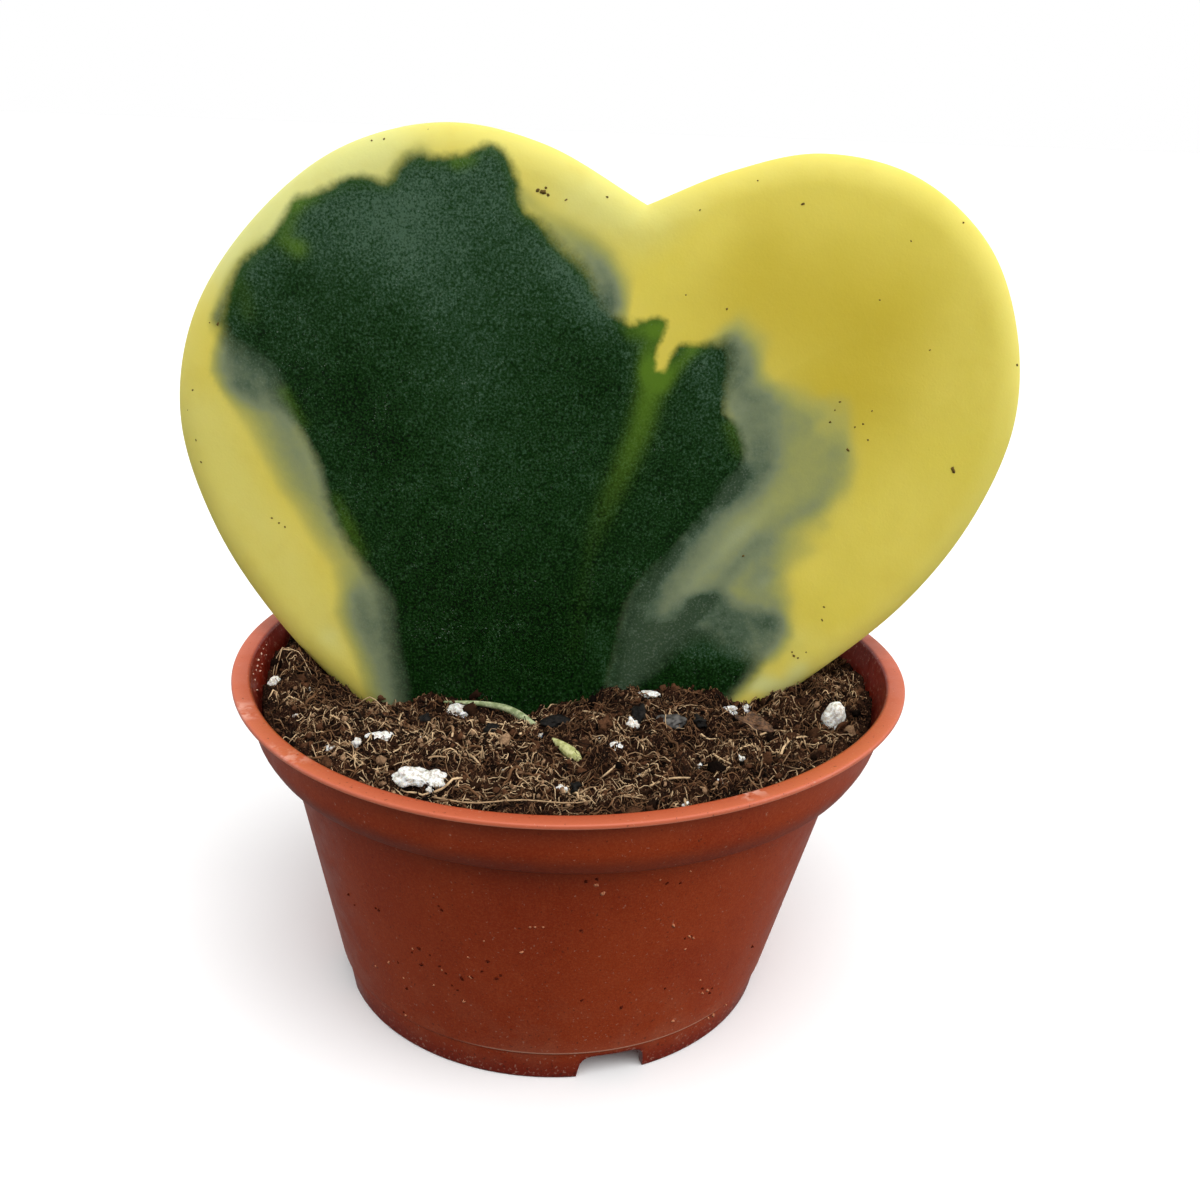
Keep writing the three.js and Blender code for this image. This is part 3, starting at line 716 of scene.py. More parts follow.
def soil_crumbs(name, count, small, large, fineness, seed):
    """Crumbs of peat and bark strewn on the bed, each with its own shade of colour, darkened in the creases by
    painted shade.
    """
    random = np.random.default_rng(seed)
    x, y = random_spots(random, count, SOIL_RADIUS - large, small)
    size = small + (large - small) * random.random(count) ** 2
    halves = size[:, None] * (0.5 + 0.8 * random.random((count, 3)))
    z = soil_height(x, y) + crumbly(x, y) + size * (0.1 + 0.6 * random.random(count))
    angles = random.random((count, 3)) * 6.28
    middles = np.stack([x, y, z], -1)
    points, faces = lumps(middles, halves, angles, 0.4, random.random(count) * 50, fineness)
    mesh = new_mesh(name, in_frame(out_of_true(points)), faces.tolist())
    each = len(points) // count
    shade = random.random(count) * lightness(x, y)
    give(mesh, "shade", np.repeat(shade, each))
    return mesh


crumb = Finish("crumb")
shade = crumb.stored("shade")
grain = crumb.noise(0.18, 4.0, 0.7, shift=9.0)
tone = crumb.mix(crumb.ramp(shade, 0.05, 0.6), colour(6, 3, 2), colour(94, 62, 42))
tone = crumb.mix(crumb.ramp(shade, 0.7, 0.95), tone, colour(170, 136, 104))
tone = crumb.mix(crumb.ramp(grain, 0.35, 0.7, 0.0, 0.6), tone, colour(24, 14, 9))
crumb.set(base_color=tone, roughness=0.9, normal=crumb.bump(grain, 0.08), specular_ior_level=0.05)
for name, count, small, large, fineness, seed in (
    ("soil_crumbs", 4400, 0.1, 0.3, 1, 11),
    ("soil_clods", 260, 0.25, 0.6, 2, 12),
):
    crumbs = soil_crumbs(name, count, small, large, fineness, seed)
    new_piece(name, crumbs, crumb.material)


def tubes(paths, radii, sides):
    """Round fibres along many paths at once, shape (fibres, points, 3), with a radius at each point."""
    count, steps = paths.shape[:2]
    heading = np.gradient(paths, axis=1)
    heading /= np.linalg.norm(heading, axis=2, keepdims=True) + 1e-12
    upright = np.zeros_like(heading)
    upright[..., 2] = 1.0
    steep = np.abs(heading[..., 2]) > 0.95
    upright[steep] = (1.0, 0.0, 0.0)
    across = np.cross(upright, heading)
    across /= np.linalg.norm(across, axis=2, keepdims=True) + 1e-12
    lift = np.cross(heading, across)
    angle = np.arange(sides) * 2 * math.pi / sides
    ring = across[:, :, None] * np.cos(angle)[:, None] + lift[:, :, None] * np.sin(angle)[:, None]
    points = paths[:, :, None] + ring * radii[..., None, None]
    quads = np.array(grid_faces(steps, sides))
    starts = np.arange(count)[:, None, None] * steps * sides
    sides_made = (quads[None] + starts).reshape(-1, 4).tolist()
    first = (np.arange(sides)[None] + starts[:, 0]).tolist()
    last = (np.arange(sides)[None] + (steps - 1) * sides + starts[:, 0]).tolist()
    return points.reshape(-1, 3), sides_made + first + last


def smooth_line(points, count):
    """Evenly spaced points on a smooth curve through the given ones."""
    points = np.asarray(points, float)
    ends = [2 * points[0] - points[1], *points, 2 * points[-1] - points[-2]]
    fine_points = []
    for a, b, c, d in zip(ends[:-3], ends[1:-2], ends[2:-1], ends[3:]):
        gaps = [max(np.linalg.norm(q - p) ** 0.5, 1e-6) for p, q in ((a, b), (b, c), (c, d))]
        slope_b = ((b - a) / gaps[0] - (c - a) / (gaps[0] + gaps[1]) + (c - b) / gaps[1]) * gaps[1]
        slope_c = ((c - b) / gaps[1] - (d - b) / (gaps[1] + gaps[2]) + (d - c) / gaps[2]) * gaps[1]
        for t in np.linspace(0.0, 1.0, 24, endpoint=False):
            pull = (2 * t**3 - 3 * t**2 + 1) * b + (3 * t**2 - 2 * t**3) * c
            fine_points.append(pull + (t**3 - 2 * t**2 + t) * slope_b + (t**3 - t**2) * slope_c)
    fine_points.append(points[-1])
    fine_points = np.array(fine_points)
    run = np.concatenate([[0.0], np.cumsum(np.linalg.norm(np.diff(fine_points, axis=0), axis=1))])
    even = np.linspace(0.0, run[-1], count)
    return np.stack([np.interp(even, run, part) for part in fine_points.T], -1)


def coir(name, count, length, thickness, points_each, sides, lift, seed):
    """Curled coir fibres on the bed, each with its own shade of colour and curl, darkened in the creases by
    painted shade.
    """
    random = np.random.default_rng(seed)
    along = np.linspace(0.0, 1.0, points_each)[None]
    x, y = random_spots(random, count, SOIL_RADIUS - 1.0)
    long = length[0] + (length[1] - length[0]) * random.random(count) ** 2
    start = random.random(count) * 2 * math.pi
    curl = (random.random(count) - 0.5) * 3.2
    wiggle = (random.random(count) - 0.5) * 1.5
    bend = start[:, None] + curl[:, None] * along
    bend = bend + wiggle[:, None] * np.sin(2 * math.pi * along + 6 * random.random(count)[:, None])
    step = (long / (points_each - 1))[:, None]
    path_x = x[:, None] + np.cumsum(np.cos(bend) * step, axis=1)
    path_y = y[:, None] + np.cumsum(np.sin(bend) * step, axis=1)
    far = np.hypot(path_x, path_y)
    keep = np.minimum(1.0, (SOIL_RADIUS - 0.5) / far)
    path_x = path_x * keep
    path_y = path_y * keep
    arch = np.sin(math.pi * along) * (lift * random.random(count) ** 2)[:, None]
    rise = 0.16 + arch + 0.2 * lift * np.sin(9 * along + 6 * random.random(count)[:, None])
    ground = soil_height(path_x, path_y) + 0.6 * crumbly(path_x, path_y)
    paths = np.stack([path_x, path_y, ground + rise], -1)
    thick = thickness[0] + (thickness[1] - thickness[0]) * random.random(count) ** 2
    radii = thick[:, None] / 2 * (0.45 + 0.55 * np.sin(math.pi * (0.1 + 0.85 * along)))
    points, faces = tubes(paths, radii, sides)
    mesh = new_mesh(name, in_frame(out_of_true(points)), faces)
    shade = random.random(count)[:, None] * lightness(path_x, path_y)
    give(mesh, "shade", np.repeat(shade.ravel(), sides))
    return mesh


fibre = Finish("coir_fibre")
shade = fibre.stored("shade")
tone = fibre.mix(fibre.ramp(shade, 0.03, 0.5), colour(7, 4, 2), colour(122, 87, 59))
tone = fibre.mix(fibre.ramp(shade, 0.5, 0.95), tone, colour(222, 190, 148))
tone = fibre.mix(fibre.ramp(fibre.noise(0.5, 3.0), 0.42, 0.7, 0.0, 0.45), tone, colour(48, 28, 17))
fibre.set(base_color=tone, roughness=0.8, specular_ior_level=0.12)
for name, count, length, thickness, points_each, sides, lift, seed in (
    ("coir_felt", 4900, (0.8, 2.6), (0.06, 0.16), 7, 3, 0.35, 23),
    ("coir_curls", 6800, (0.4, 1.5), (0.06, 0.16), 5, 3, 0.6, 24),
    ("coir_fine", 900, (2.0, 6.0), (0.05, 0.12), 12, 4, 0.7, 21),
    ("coir_coarse", 40, (3.0, 7.0), (0.18, 0.3), 14, 6, 0.6, 22),
):
    threads = coir(name, count, length, thickness, points_each, sides, lift, seed)
    new_piece(name, threads, fibre.material)

# Long fibres that can be told apart in the photograph: pixels, thickness in millimetres and shade.
LONG_FIBRES = [
    ([(432, 797), (470, 803), (520, 800), (575, 803), (620, 796), (645, 799)], 0.15, 0.72),
    ([(440, 681), (443, 691), (448, 701), (457, 705)], 0.12, 0.95),
    ([(401, 714), (399, 722), (403, 730), (409, 734)], 0.16, 0.9),
    ([(380, 722), (390, 727), (396, 734), (397, 742)], 0.16, 0.75),
    ([(470, 720), (485, 722), (500, 724), (514, 727)], 0.2, 0.95),
    ([(583, 711), (600, 714), (613, 718), (622, 729)], 0.2, 0.85),
    ([(585, 723), (592, 719), (599, 716)], 0.18, 0.85),
    ([(621, 757), (614, 767), (600, 779)], 0.2, 0.88),
    ([(713, 754), (721, 759), (731, 764)], 0.2, 0.85),
    ([(728, 760), (737, 750), (745, 747), (752, 744)], 0.22, 0.9),
    ([(701, 734), (709, 739), (719, 738)], 0.16, 0.9),
    ([(780, 758), (786, 744), (800, 737), (815, 741), (826, 752)], 0.24, 0.9),
    ([(520, 734), (529, 730), (536, 729)], 0.24, 0.97),
    ([(470, 755), (476, 760), (480, 765)], 0.24, 0.9),
    ([(420, 762), (432, 757), (446, 757)], 0.22, 0.7),
    ([(650, 786), (668, 779), (690, 778), (716, 781)], 0.2, 0.8),
    ([(330, 715), (345, 722), (352, 735)], 0.18, 0.85),
    ([(845, 680), (852, 690), (850, 702)], 0.18, 0.85),
    ([(760, 735), (772, 731), (786, 731)], 0.2, 0.8),
]
LONG_POINTS = 16
LONG_SIDES = 6
paths = []
radii = []
shades = []
for pixels, thickness, own_shade in LONG_FIBRES:
    flat = [seen_at_height(pixel, SOIL_LEVEL) for pixel in pixels]
    for _ in range(8):
        ground = [soil_height(at[0], at[1]) + 0.5 * crumbly(at[0], at[1]) + 0.35 for at in flat]
        ground = [0.5 * level + 0.5 * at[2] for level, at in zip(ground, flat)]
        flat = [seen_at_height(pixel, level) for pixel, level in zip(pixels, ground)]
    paths.append(smooth_line(flat, LONG_POINTS))
    radii.append(np.full(LONG_POINTS, thickness / 2) * np.linspace(1.0, 0.7, LONG_POINTS))
    shades.append(np.full(LONG_POINTS * LONG_SIDES, own_shade))
points, faces = tubes(np.array(paths), np.array(radii), LONG_SIDES)
long_mesh = new_mesh("long_fibres", in_frame(points), faces)
give(long_mesh, "shade", np.concatenate(shades))
new_piece("long_fibres", long_mesh, fibre.material)

# Small pale crumbs of perlite and a few dark pebbles among the fibres: pixels and a radius in millimetres.
PALE_CRUMBS = [
    *[((562, 790), 0.5), ((541, 736), 0.25), ((484, 735), 0.2), ((633, 724), 0.45), ((746, 709), 0.4)],
    *[((720, 782), 0.25), ((785, 780), 0.22), ((745, 797), 0.25), ((686, 806), 0.3), ((356, 743), 0.45)],
    *[((330, 749), 0.3), ((695, 710), 0.2), ((430, 790), 0.3), ((741, 760), 0.3), ((700, 766), 0.2)],
    *[((563, 697), 0.35), ((600, 740), 0.18), ((420, 740), 0.2), ((800, 765), 0.2), ((295, 716), 0.2)],
    *[((640, 775), 0.16), ((505, 770), 0.16), ((846, 725), 0.2), ((575, 715), 0.16), ((310, 690), 0.2)],
]
DARK_PEBBLES = [
    *[((575, 788), 0.45), ((492, 731), 0.7), ((424, 720), 0.6), ((640, 716), 0.7), ((700, 722), 0.5)],
]


def seen_on_soil(pixel, above):
    """Where a pixel of the photograph looks at the bed, and a little above it."""
    at = seen_at_height(pixel, SOIL_LEVEL)
    for _ in range(10):
        level = soil_height(at[0], at[1]) + 0.6 * crumbly(at[0], at[1]) + above
        at = seen_at_height(pixel, 0.5 * level + 0.5 * at[2])
    return at


def strewn(name, spots, rough, material):
    """Small lumps on the bed under the given pixels, as one piece."""
    random = np.random.default_rng(len(spots))
    sizes = np.array([size for _, size in spots])
    middles = np.array([seen_on_soil(at, 0.5 * size) for at, size in spots])
    halves = sizes[:, None] * (0.7 + 0.5 * random.random((len(spots), 3)))
    angles = random.random((len(spots), 3)) * 6
    points, faces = lumps(middles, halves, angles, rough, random.random(len(spots)), 3)
    new_piece(name, new_mesh(name, in_frame(points), faces.tolist()), material)


# What lies on the soil: perlite, foamed white mineral in rough lumps, a grey stone chip, a curved piece
# of charred bark and a brown flake of it. Each is sunk into the soil by about a third.
def lying_lump(
    name, node, at, half, material, tilt=0.0, turn_by=0.0, seed=1.0, rough=0.16, frill=0.05, arch=0.0
):
    """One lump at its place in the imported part, with fine random relief and, if asked, a hollow under it."""
    points, faces = lumps([at], [half], [(0.0, tilt, turn_by)], rough, [seed], 5)
    away = points - np.array(at)
    away[:, 2] += arch * np.exp(-((away[:, 0] / 0.8) ** 2)) * (away[:, 2] < 0)
    away[:, 2] -= 0.4 * arch * np.exp(-(((away[:, 0] - 0.2) / 0.7) ** 2)) * (away[:, 2] > 0)
    for size, depth, kind in ((0.8, 1.0, 31), (0.42, 0.7, 32), (0.2, 0.4, 33)):
        bumpy = relief(away[:, 0] + 0.6 * away[:, 2], away[:, 1] - 0.8 * away[:, 2], size, kind + seed) - 0.5
        away = away * (1 + frill * depth * bumpy[:, None] * 2)
    mesh = new_mesh(name, in_frame(away + np.array(at)), faces.tolist())
    return new_piece(name, mesh, material, [node])


foam = Finish("perlite")
pits = foam.noise(0.28, 4.0, 0.65)
stains = foam.ramp(foam.noise(0.7, 3.0, shift=3.0), 0.55, 0.75, 0.0, 0.35)
tone = foam.mix(foam.ramp(pits, 0.36, 0.6), colour(186, 176, 162), colour(243, 244, 240))
tone = foam.mix(stains, tone, colour(190, 160, 132))
foam.set(
    base_color=tone,
    roughness=0.85,
    normal=foam.bump(pits, 0.12),
    subsurface_weight=0.3,
    subsurface_radius=(0.0004, 0.0003, 0.0002),
    subsurface_scale=1.0,
)
# Each lump's solid, middle, half sizes, tilt, turn, seed, and how deep its waves and its fine relief are.
PERLITE = [
    ("perlite_1", (-10.9, -20.4, 28.65), (2.3, 1.1, 0.85), 0.0, 0.05, 2.0, 0.17, 0.05),
    ("perlite_2", (-15.3, -13.1, 28.45), (1.1, 0.75, 0.42), 0.0, 0.1, 5.0, 0.15, 0.04),
    ("perlite_3", (23.2, -6.9, 28.6), (1.02, 1.0, 1.6), 0.2, 0.0, 8.0, 0.07, 0.05),
    ("perlite_4", (4.2, -13.7, 28.65), (0.7, 0.6, 0.38), 0.0, 0.0, 3.0, 0.15, 0.04),
    ("perlite_5", (7.3, -2.5, 28.4), (0.95, 0.5, 0.32), 0.0, -0.1, 4.0, 0.1, 0.02),
    ("perlite_7", (-26.5, -3.0, 28.4), (0.6, 0.7, 0.65), 0.0, 0.0, 6.0, 0.15, 0.05),
    ("perlite_8", (-9.9, -4.6, 26.95), (1.1, 0.8, 0.6), 0.0, -0.4, 7.0, 0.2, 0.08),
]
for name, at, half, tilt, turn_by, seed, rough, frill in PERLITE:
    arch = 0.75 if name == "perlite_1" else 0.0
    own_name = name.replace("perlite", "perlite_lump")
    lying_lump(own_name, name, at, half, foam.material, tilt, turn_by, seed, rough, frill, arch)
# This lump is a burst star with four arms: the half sizes of each, and its turn.
STAR_ARMS = [(0.9, 0.3, 0.28, 0.5), (0.85, 0.28, 0.26, -0.7), (0.5, 0.5, 0.45, 0.0), (0.3, 0.3, 0.65, 0.4)]
arm_halves = [arm[:3] for arm in STAR_ARMS]
arm_turns = [(0.2, arm[3], arm[3]) for arm in STAR_ARMS]
STAR_MIDDLE = (14.6, -3.2, 27.3)
arm_middles = [STAR_MIDDLE] * len(STAR_ARMS)
points, faces = lumps(arm_middles, arm_halves, arm_turns, 0.2, [9.0, 4.0, 2.0, 6.0], 4)
star_mesh = new_mesh("perlite_star", in_frame(points), faces.tolist())
new_piece("perlite_star", star_mesh, foam.material, ["perlite_6"])
strewn("perlite_crumbs", PALE_CRUMBS, 0.4, foam.material)

stone = Finish("grey_stone")
tone = stone.mix(stone.ramp(stone.noise(0.4, 4.0), 0.35, 0.65), colour(42, 40, 38), colour(94, 91, 88))
stone.set(base_color=tone, roughness=0.75, normal=stone.bump(stone.noise(0.3, 4.0), 0.06))
lying_lump(
    "stone_lump",
    "stone_chip",
    (8.9, -8.8, 28.75),
    (1.2, 0.9, 0.55),
    stone.material,
    turn_by=-0.15,
    seed=11,
)

char = Finish("charred_bark")
tone = char.mix(char.ramp(char.noise(0.3, 4.0), 0.4, 0.7), colour(8, 7, 6), colour(30, 26, 22))
cracks = char.bump(char.noise(0.25, 4.0), 0.1)
char.set(base_color=tone, roughness=0.7, normal=cracks, specular_ior_level=0.2)
lying_lump(
    "char_lump",
    "bark_chip",
    (-1.0, -6.3, 27.15),
    (1.3, 0.75, 0.55),
    char.material,
    turn_by=0.2,
    seed=12,
)
strewn("dark_pebbles", DARK_PEBBLES, 0.4, char.material)

flake = Finish("brown_bark")
layers = flake.noise(0.35, 4.0, 0.6, stretch=(1, 1, 3))
tone = flake.mix(flake.ramp(layers, 0.35, 0.65), colour(48, 29, 18), colour(122, 86, 58))
flake.set(base_color=tone, roughness=0.8, normal=flake.bump(layers, 0.12))
lying_lump(
    "bark_piece",
    "bark_flake",
    (16.4, -8.4, 28.5),
    (1.6, 0.95, 0.5),
    flake.material,
    tilt=0.3,
    turn_by=-0.45,
    seed=13.0,
    rough=0.4,
)


# A dry green stalk and a ribbed green bud, plant matter that lies loose on the soil in front of the leaf.
# Both are round sections along a curve, each bedded a little in the soil.
def stem(name, path, radii, steps, sides, ribs=0.0):
    """One stalk or bud: round sections along a path, with ribs along it if asked."""
    line = smooth_line(path, steps)
    thick = np.interp(np.linspace(0, len(radii) - 1, steps), np.arange(len(radii)), radii)
    points, faces = tubes(line[None], thick[None], sides)
    if ribs:
        middle = np.repeat(line, sides, axis=0)
        swell = 1 + ribs * np.tile(np.cos(np.arange(sides) * math.pi), steps)
        points = middle + (points - middle) * swell[:, None]
    return new_mesh(name, in_frame(points), faces)


def green_skin(name, patch_size, roughness, dull, bright):
    """The skin of a stalk or bud, in soft patches of a dull and a bright green, a little see-through."""
    made = Finish(name)
    patches = made.noise(patch_size, 3.0, roughness)
    made.set(
        base_color=made.mix(made.ramp(patches, 0.35, 0.65), dull, bright),
        roughness=0.6,
        normal=made.bump(patches, 0.04),
        subsurface_weight=0.2,
        subsurface_radius=(0.0004, 0.0004, 0.0002),
    )
    return made.material


stalk_skin = green_skin("dry_green_stalk", 0.5, 0.6, colour(124, 138, 92), colour(186, 194, 150))
STALK_PATH = [
    (-11.4, -2.1, 26.75),
    (-7.7, -2.5, 26.85),
    (-5.3, -3.6, 26.9),
    (-2.6, -6.0, 26.4),
]
stalk_mesh = stem("dry_stalk", STALK_PATH, [0.1, 0.2, 0.27, 0.33, 0.36, 0.24], 40, 16)
new_piece("dry_stalk", stalk_mesh, stalk_skin, ["green_stalk"])

husk_skin = green_skin("bud_husk", 0.4, 0.5, colour(158, 160, 96), colour(206, 206, 146))
BUD_PATH = [(-1.0, -12.9, 28.75), (0.2, -14.5, 28.6), (1.4, -16.1, 28.45)]
bud_mesh = stem("fallen_bud", BUD_PATH, [0.12, 0.3, 0.44, 0.52, 0.47, 0.18], 30, 20, 0.07)
new_piece("fallen_bud", bud_mesh, husk_skin, ["green_bud"])


# Leaf. One thick, fleshy, heart-shaped hoya leaf, stuck in the soil by its short petiole, notch up. The
# flesh is yellow where it has no green; a dark green patch covers the middle, and a grey-green layer that
# lies deeper spreads out from it like smoke on the left and on the lower right.
# The outline, (x, z): from the notch round the right lobe, down to the petiole's end and up the left side.
LEAF_EDGE = [
    (5.3, 70.5),
    (12.2, 73.4),
    (19.5, 75.0),
    (27.6, 73.4),
    (34.2, 68.2),
    (37.5, 61.0),
    (38.2, 53.0),
    (35.4, 44.4),
    (30.0, 36.5),
    (21.0, 28.5),
    (12.3, 21.6),
    (4.4, 16.6),
    (2.2, 13.0),
    (1.9, 10.4),
    (0.2, 8.8),
    (-1.5, 10.4),
    (-1.8, 13.0),
    (-4.0, 16.4),
    (-12.2, 20.6),
    (-20.4, 26.0),
    (-27.6, 33.7),
    (-32.5, 41.8),
    (-35.0, 51.0),
    (-33.5, 59.7),
    (-28.4, 67.6),
    (-20.6, 74.0),
    (-11.7, 76.4),
    (-3.4, 75.0),
    (5.3, 70.5),
]
LEAF_MIDDLE = np.array([2.0, 46.0])
LEAF_HALF = 1.25
LEAF_ROLL = 2.7
LEAF_CROWN = 0.3
LEAF_LEAN = 0.05
LEAF_BOW = 0.0011
LEAF_BOW_AXIS = 3.0
LEAF_CURL = 0.9
LEAF_CURL_START = 58.0
LEAF_CURL_REACH = 18.0
SOIL_LINE = 27.0
LEAF_COLUMNS = 540
FRONT_RINGS = 80
BACK_RINGS = 28


def leaf_depth(x, z):
    """How far the blade's middle lies behind the pot's axis: it leans back, bows and curls at the top."""
    curl = np.maximum(0.0, (z - LEAF_CURL_START) / LEAF_CURL_REACH)
    return LEAF_LEAN * (z - SOIL_LINE) + LEAF_BOW * (x - LEAF_BOW_AXIS) ** 2 + LEAF_CURL * curl**2


edge = smooth_line(LEAF_EDGE, LEAF_COLUMNS + 1)[:-1]
along_edge = np.roll(edge, -1, axis=0) - np.roll(edge, 1, axis=0)
outward = np.stack([-along_edge[:, 1], along_edge[:, 0]], -1)
outward /= np.linalg.norm(outward, axis=1, keepdims=True)
# How far in from its edge the blade rounds off; less in the narrow petiole.
roll = LEAF_HALF + (LEAF_ROLL - LEAF_HALF) * smoothstep(18.0, 27.0, edge[:, 1:])


def leaf_side(side, inner_rings):
    """One face of the blade as rings from the round edge to the middle; side is -1 for the front."""
    rows = []
    for angle in np.linspace(0.0, 90.0, 14):
        swing = math.radians(angle)
        rows.append((edge - outward * roll * (1 - math.cos(swing)), LEAF_HALF * math.sin(swing)))
    last = rows[-1][0]
    for shrink in np.linspace(1.0, 0.012, inner_rings + 1)[1:]:
        rows.append((LEAF_MIDDLE + (last - LEAF_MIDDLE) * shrink, LEAF_HALF + LEAF_CROWN * (1 - shrink**2)))
    points = []
    for at, half in rows:
        x, z = at.T
        wave = 0.14 * (relief(x, z, 9.0, 41) - 0.5) + 0.06 * (relief(x, z, 3.5, 42) - 0.5)
        y = leaf_depth(x, z) + side * (half + wave * half / LEAF_HALF)
        points.append(np.stack([x, y, z], -1))
    return np.vstack(points), len(rows)


front_points, front_rows = leaf_side(-1, FRONT_RINGS)
back_points, back_rows = leaf_side(1, BACK_RINGS)
leaf_points = np.vstack([front_points, back_points[LEAF_COLUMNS:]])
leaf_faces = grid_faces(front_rows, LEAF_COLUMNS)
leaf_faces.append(list(range((front_rows - 1) * LEAF_COLUMNS, front_rows * LEAF_COLUMNS)))
back_start = len(front_points)
for i in range(LEAF_COLUMNS):
    after = (i + 1) % LEAF_COLUMNS
    leaf_faces.append([i, after, back_start + after, back_start + i])
leaf_faces += grid_faces(back_rows - 1, LEAF_COLUMNS, start=back_start)
leaf_faces.append(list(range(len(leaf_points) - LEAF_COLUMNS, len(leaf_points))))
leaf_mesh = new_mesh("leaf_blade", in_frame(leaf_points), leaf_faces)


def patterned_face(x, z):
    """How far back the blade's face lies, with its crown taken as even."""
    return leaf_depth(x, z) - LEAF_HALF - LEAF_CROWN / 2


def on_leaf(pixels):
    """Places on the blade's face, (x, z), under pixels of the photograph."""
    return np.array([seen_on_front(pixel, patterned_face)[[0, 2]] for pixel in pixels])


def along_line(places, line):
    """The shortest way from each place to a line, and how far along the line that is, from 0 to 1."""
    nearest = np.full(len(places), 1e9)
    share_there = np.zeros(len(places))
    whole = np.linalg.norm(np.diff(line, axis=0), axis=1).sum()
    so_far = 0.0
    for a, b in zip(line[:-1], line[1:]):
        run = b - a
        length = np.linalg.norm(run)
        share = np.clip(((places - a) @ run) / (length**2 + 1e-12), 0.0, 1.0)
        away = np.linalg.norm(places - a - share[:, None] * run, axis=1)
        closer = away < nearest
        nearest = np.where(closer, away, nearest)
        share_there = np.where(closer, (so_far + share * length) / whole, share_there)
        so_far += length
    return nearest, share_there


def depth_inside(places, outline):
    """How far inside a closed outline each place lies, in millimetres; negative outside."""
    inside_it = np.zeros(len(places), bool)
    for a, b in zip(outline, np.roll(outline, -1, axis=0)):
        crosses = (a[1] > places[:, 1]) != (b[1] > places[:, 1])
        at = a[0] + (places[:, 1] - a[1]) * (b[0] - a[0]) / (b[1] - a[1] + 1e-12)
        inside_it ^= crosses & (places[:, 0] < at)
    away = along_line(places, np.vstack([outline, outline[:1]]))[0]
    return np.where(inside_it, away, -away)


def outline_on_leaf(pixels):
    """A closed outline on the blade, drawn smoothly through pixels of the photograph."""
    corners = on_leaf(pixels)
    return smooth_line(np.vstack([corners, corners[:1]]), 3 * len(corners))[:-1]


def strokes(places, drawn):
    """Soft brush strokes: (pixels, half width in mm, and strengths evenly spaced along the stroke)."""
    total = np.zeros(len(places))
    for pixels, width, *strengths in drawn:
        away, along = along_line(places, on_leaf(pixels))
        strength = np.interp(along, np.linspace(0.0, 1.0, len(strengths)), strengths)
        total += strength * np.exp(-((away / width) ** 2))
    return total


# The dark patch's outline, clockwise from its left end, and its lower right lobe's, in pixels.
DARK_PATCH = [
    *[(217, 321), (224, 302), (231, 283), (237, 268), (249, 254), (262, 243), (274, 231), (285, 214)],
    *[(293, 198), (305, 196), (324, 189), (343, 179), (358, 176), (374, 178), (387, 181), (396, 170)],
    *[(407, 158), (420, 154), (435, 157), (451, 156), (467, 154), (478, 147), (491, 145), (504, 151)],
    *[(513, 168), (519, 187), (520, 202), (527, 213), (539, 220), (551, 234), (565, 250), (582, 264)],
    *[(594, 281), (603, 301), (616, 317), (627, 318), (630, 330), (639, 325), (651, 318), (667, 321)],
    *[(661, 338), (655, 360), (655, 371), (664, 371), (672, 357), (680, 345), (695, 345), (714, 343)],
    *[(728, 342), (733, 358), (731, 378), (725, 398), (724, 412), (736, 426), (744, 450), (739, 468)],
    *[(722, 487), (705, 514), (686, 534), (668, 556), (651, 576), (637, 592), (627, 619), (622, 646)],
    *[(613, 685), (606, 740), (560, 780), (430, 760), (402, 700), (400, 680), (394, 655), (390, 630)],
    *[(388, 610), (380, 590), (368, 573), (354, 553), (340, 529), (329, 504), (324, 485), (319, 465)],
    *[(309, 445), (299, 427), (289, 411), (277, 395), (274, 375), (262, 362), (245, 352), (228, 344)],
]
DARK_LOBE = [
    *[(600, 725), (632, 690), (650, 672), (668, 655), (684, 643), (700, 632), (715, 638), (735, 650)],
    *[(752, 656), (757, 664), (745, 680), (728, 700), (700, 740), (650, 760)],
]
# The smoke's outer line on the left; then, for rows of the photograph, how fast the smoke thickens to the
# right of that line, per millimetre, and how thick it gets.
LEFT_SMOKE = [
    *[(224, 318), (214, 335), (209, 352), (207, 370), (216, 388), (229, 410), (242, 430), (253, 450)],
    *[(264, 470), (274, 490), (289, 510), (300, 530), (313, 550), (327, 568), (332, 590), (330, 612)],
    *[(337, 632), (346, 650), (354, 672), (362, 700), (380, 760), (560, 780), (560, 260), (300, 260)],
]
LEFT_SMOKE_RISE = [
    *[(345, 0.6, 0.95), (372, 0.5, 0.9), (392, 0.6, 0.76), (415, 0.24, 0.7), (510, 0.22, 0.7)],
    *[(550, 0.18, 0.62), (610, 0.27, 0.82), (690, 0.32, 1.0)],
]
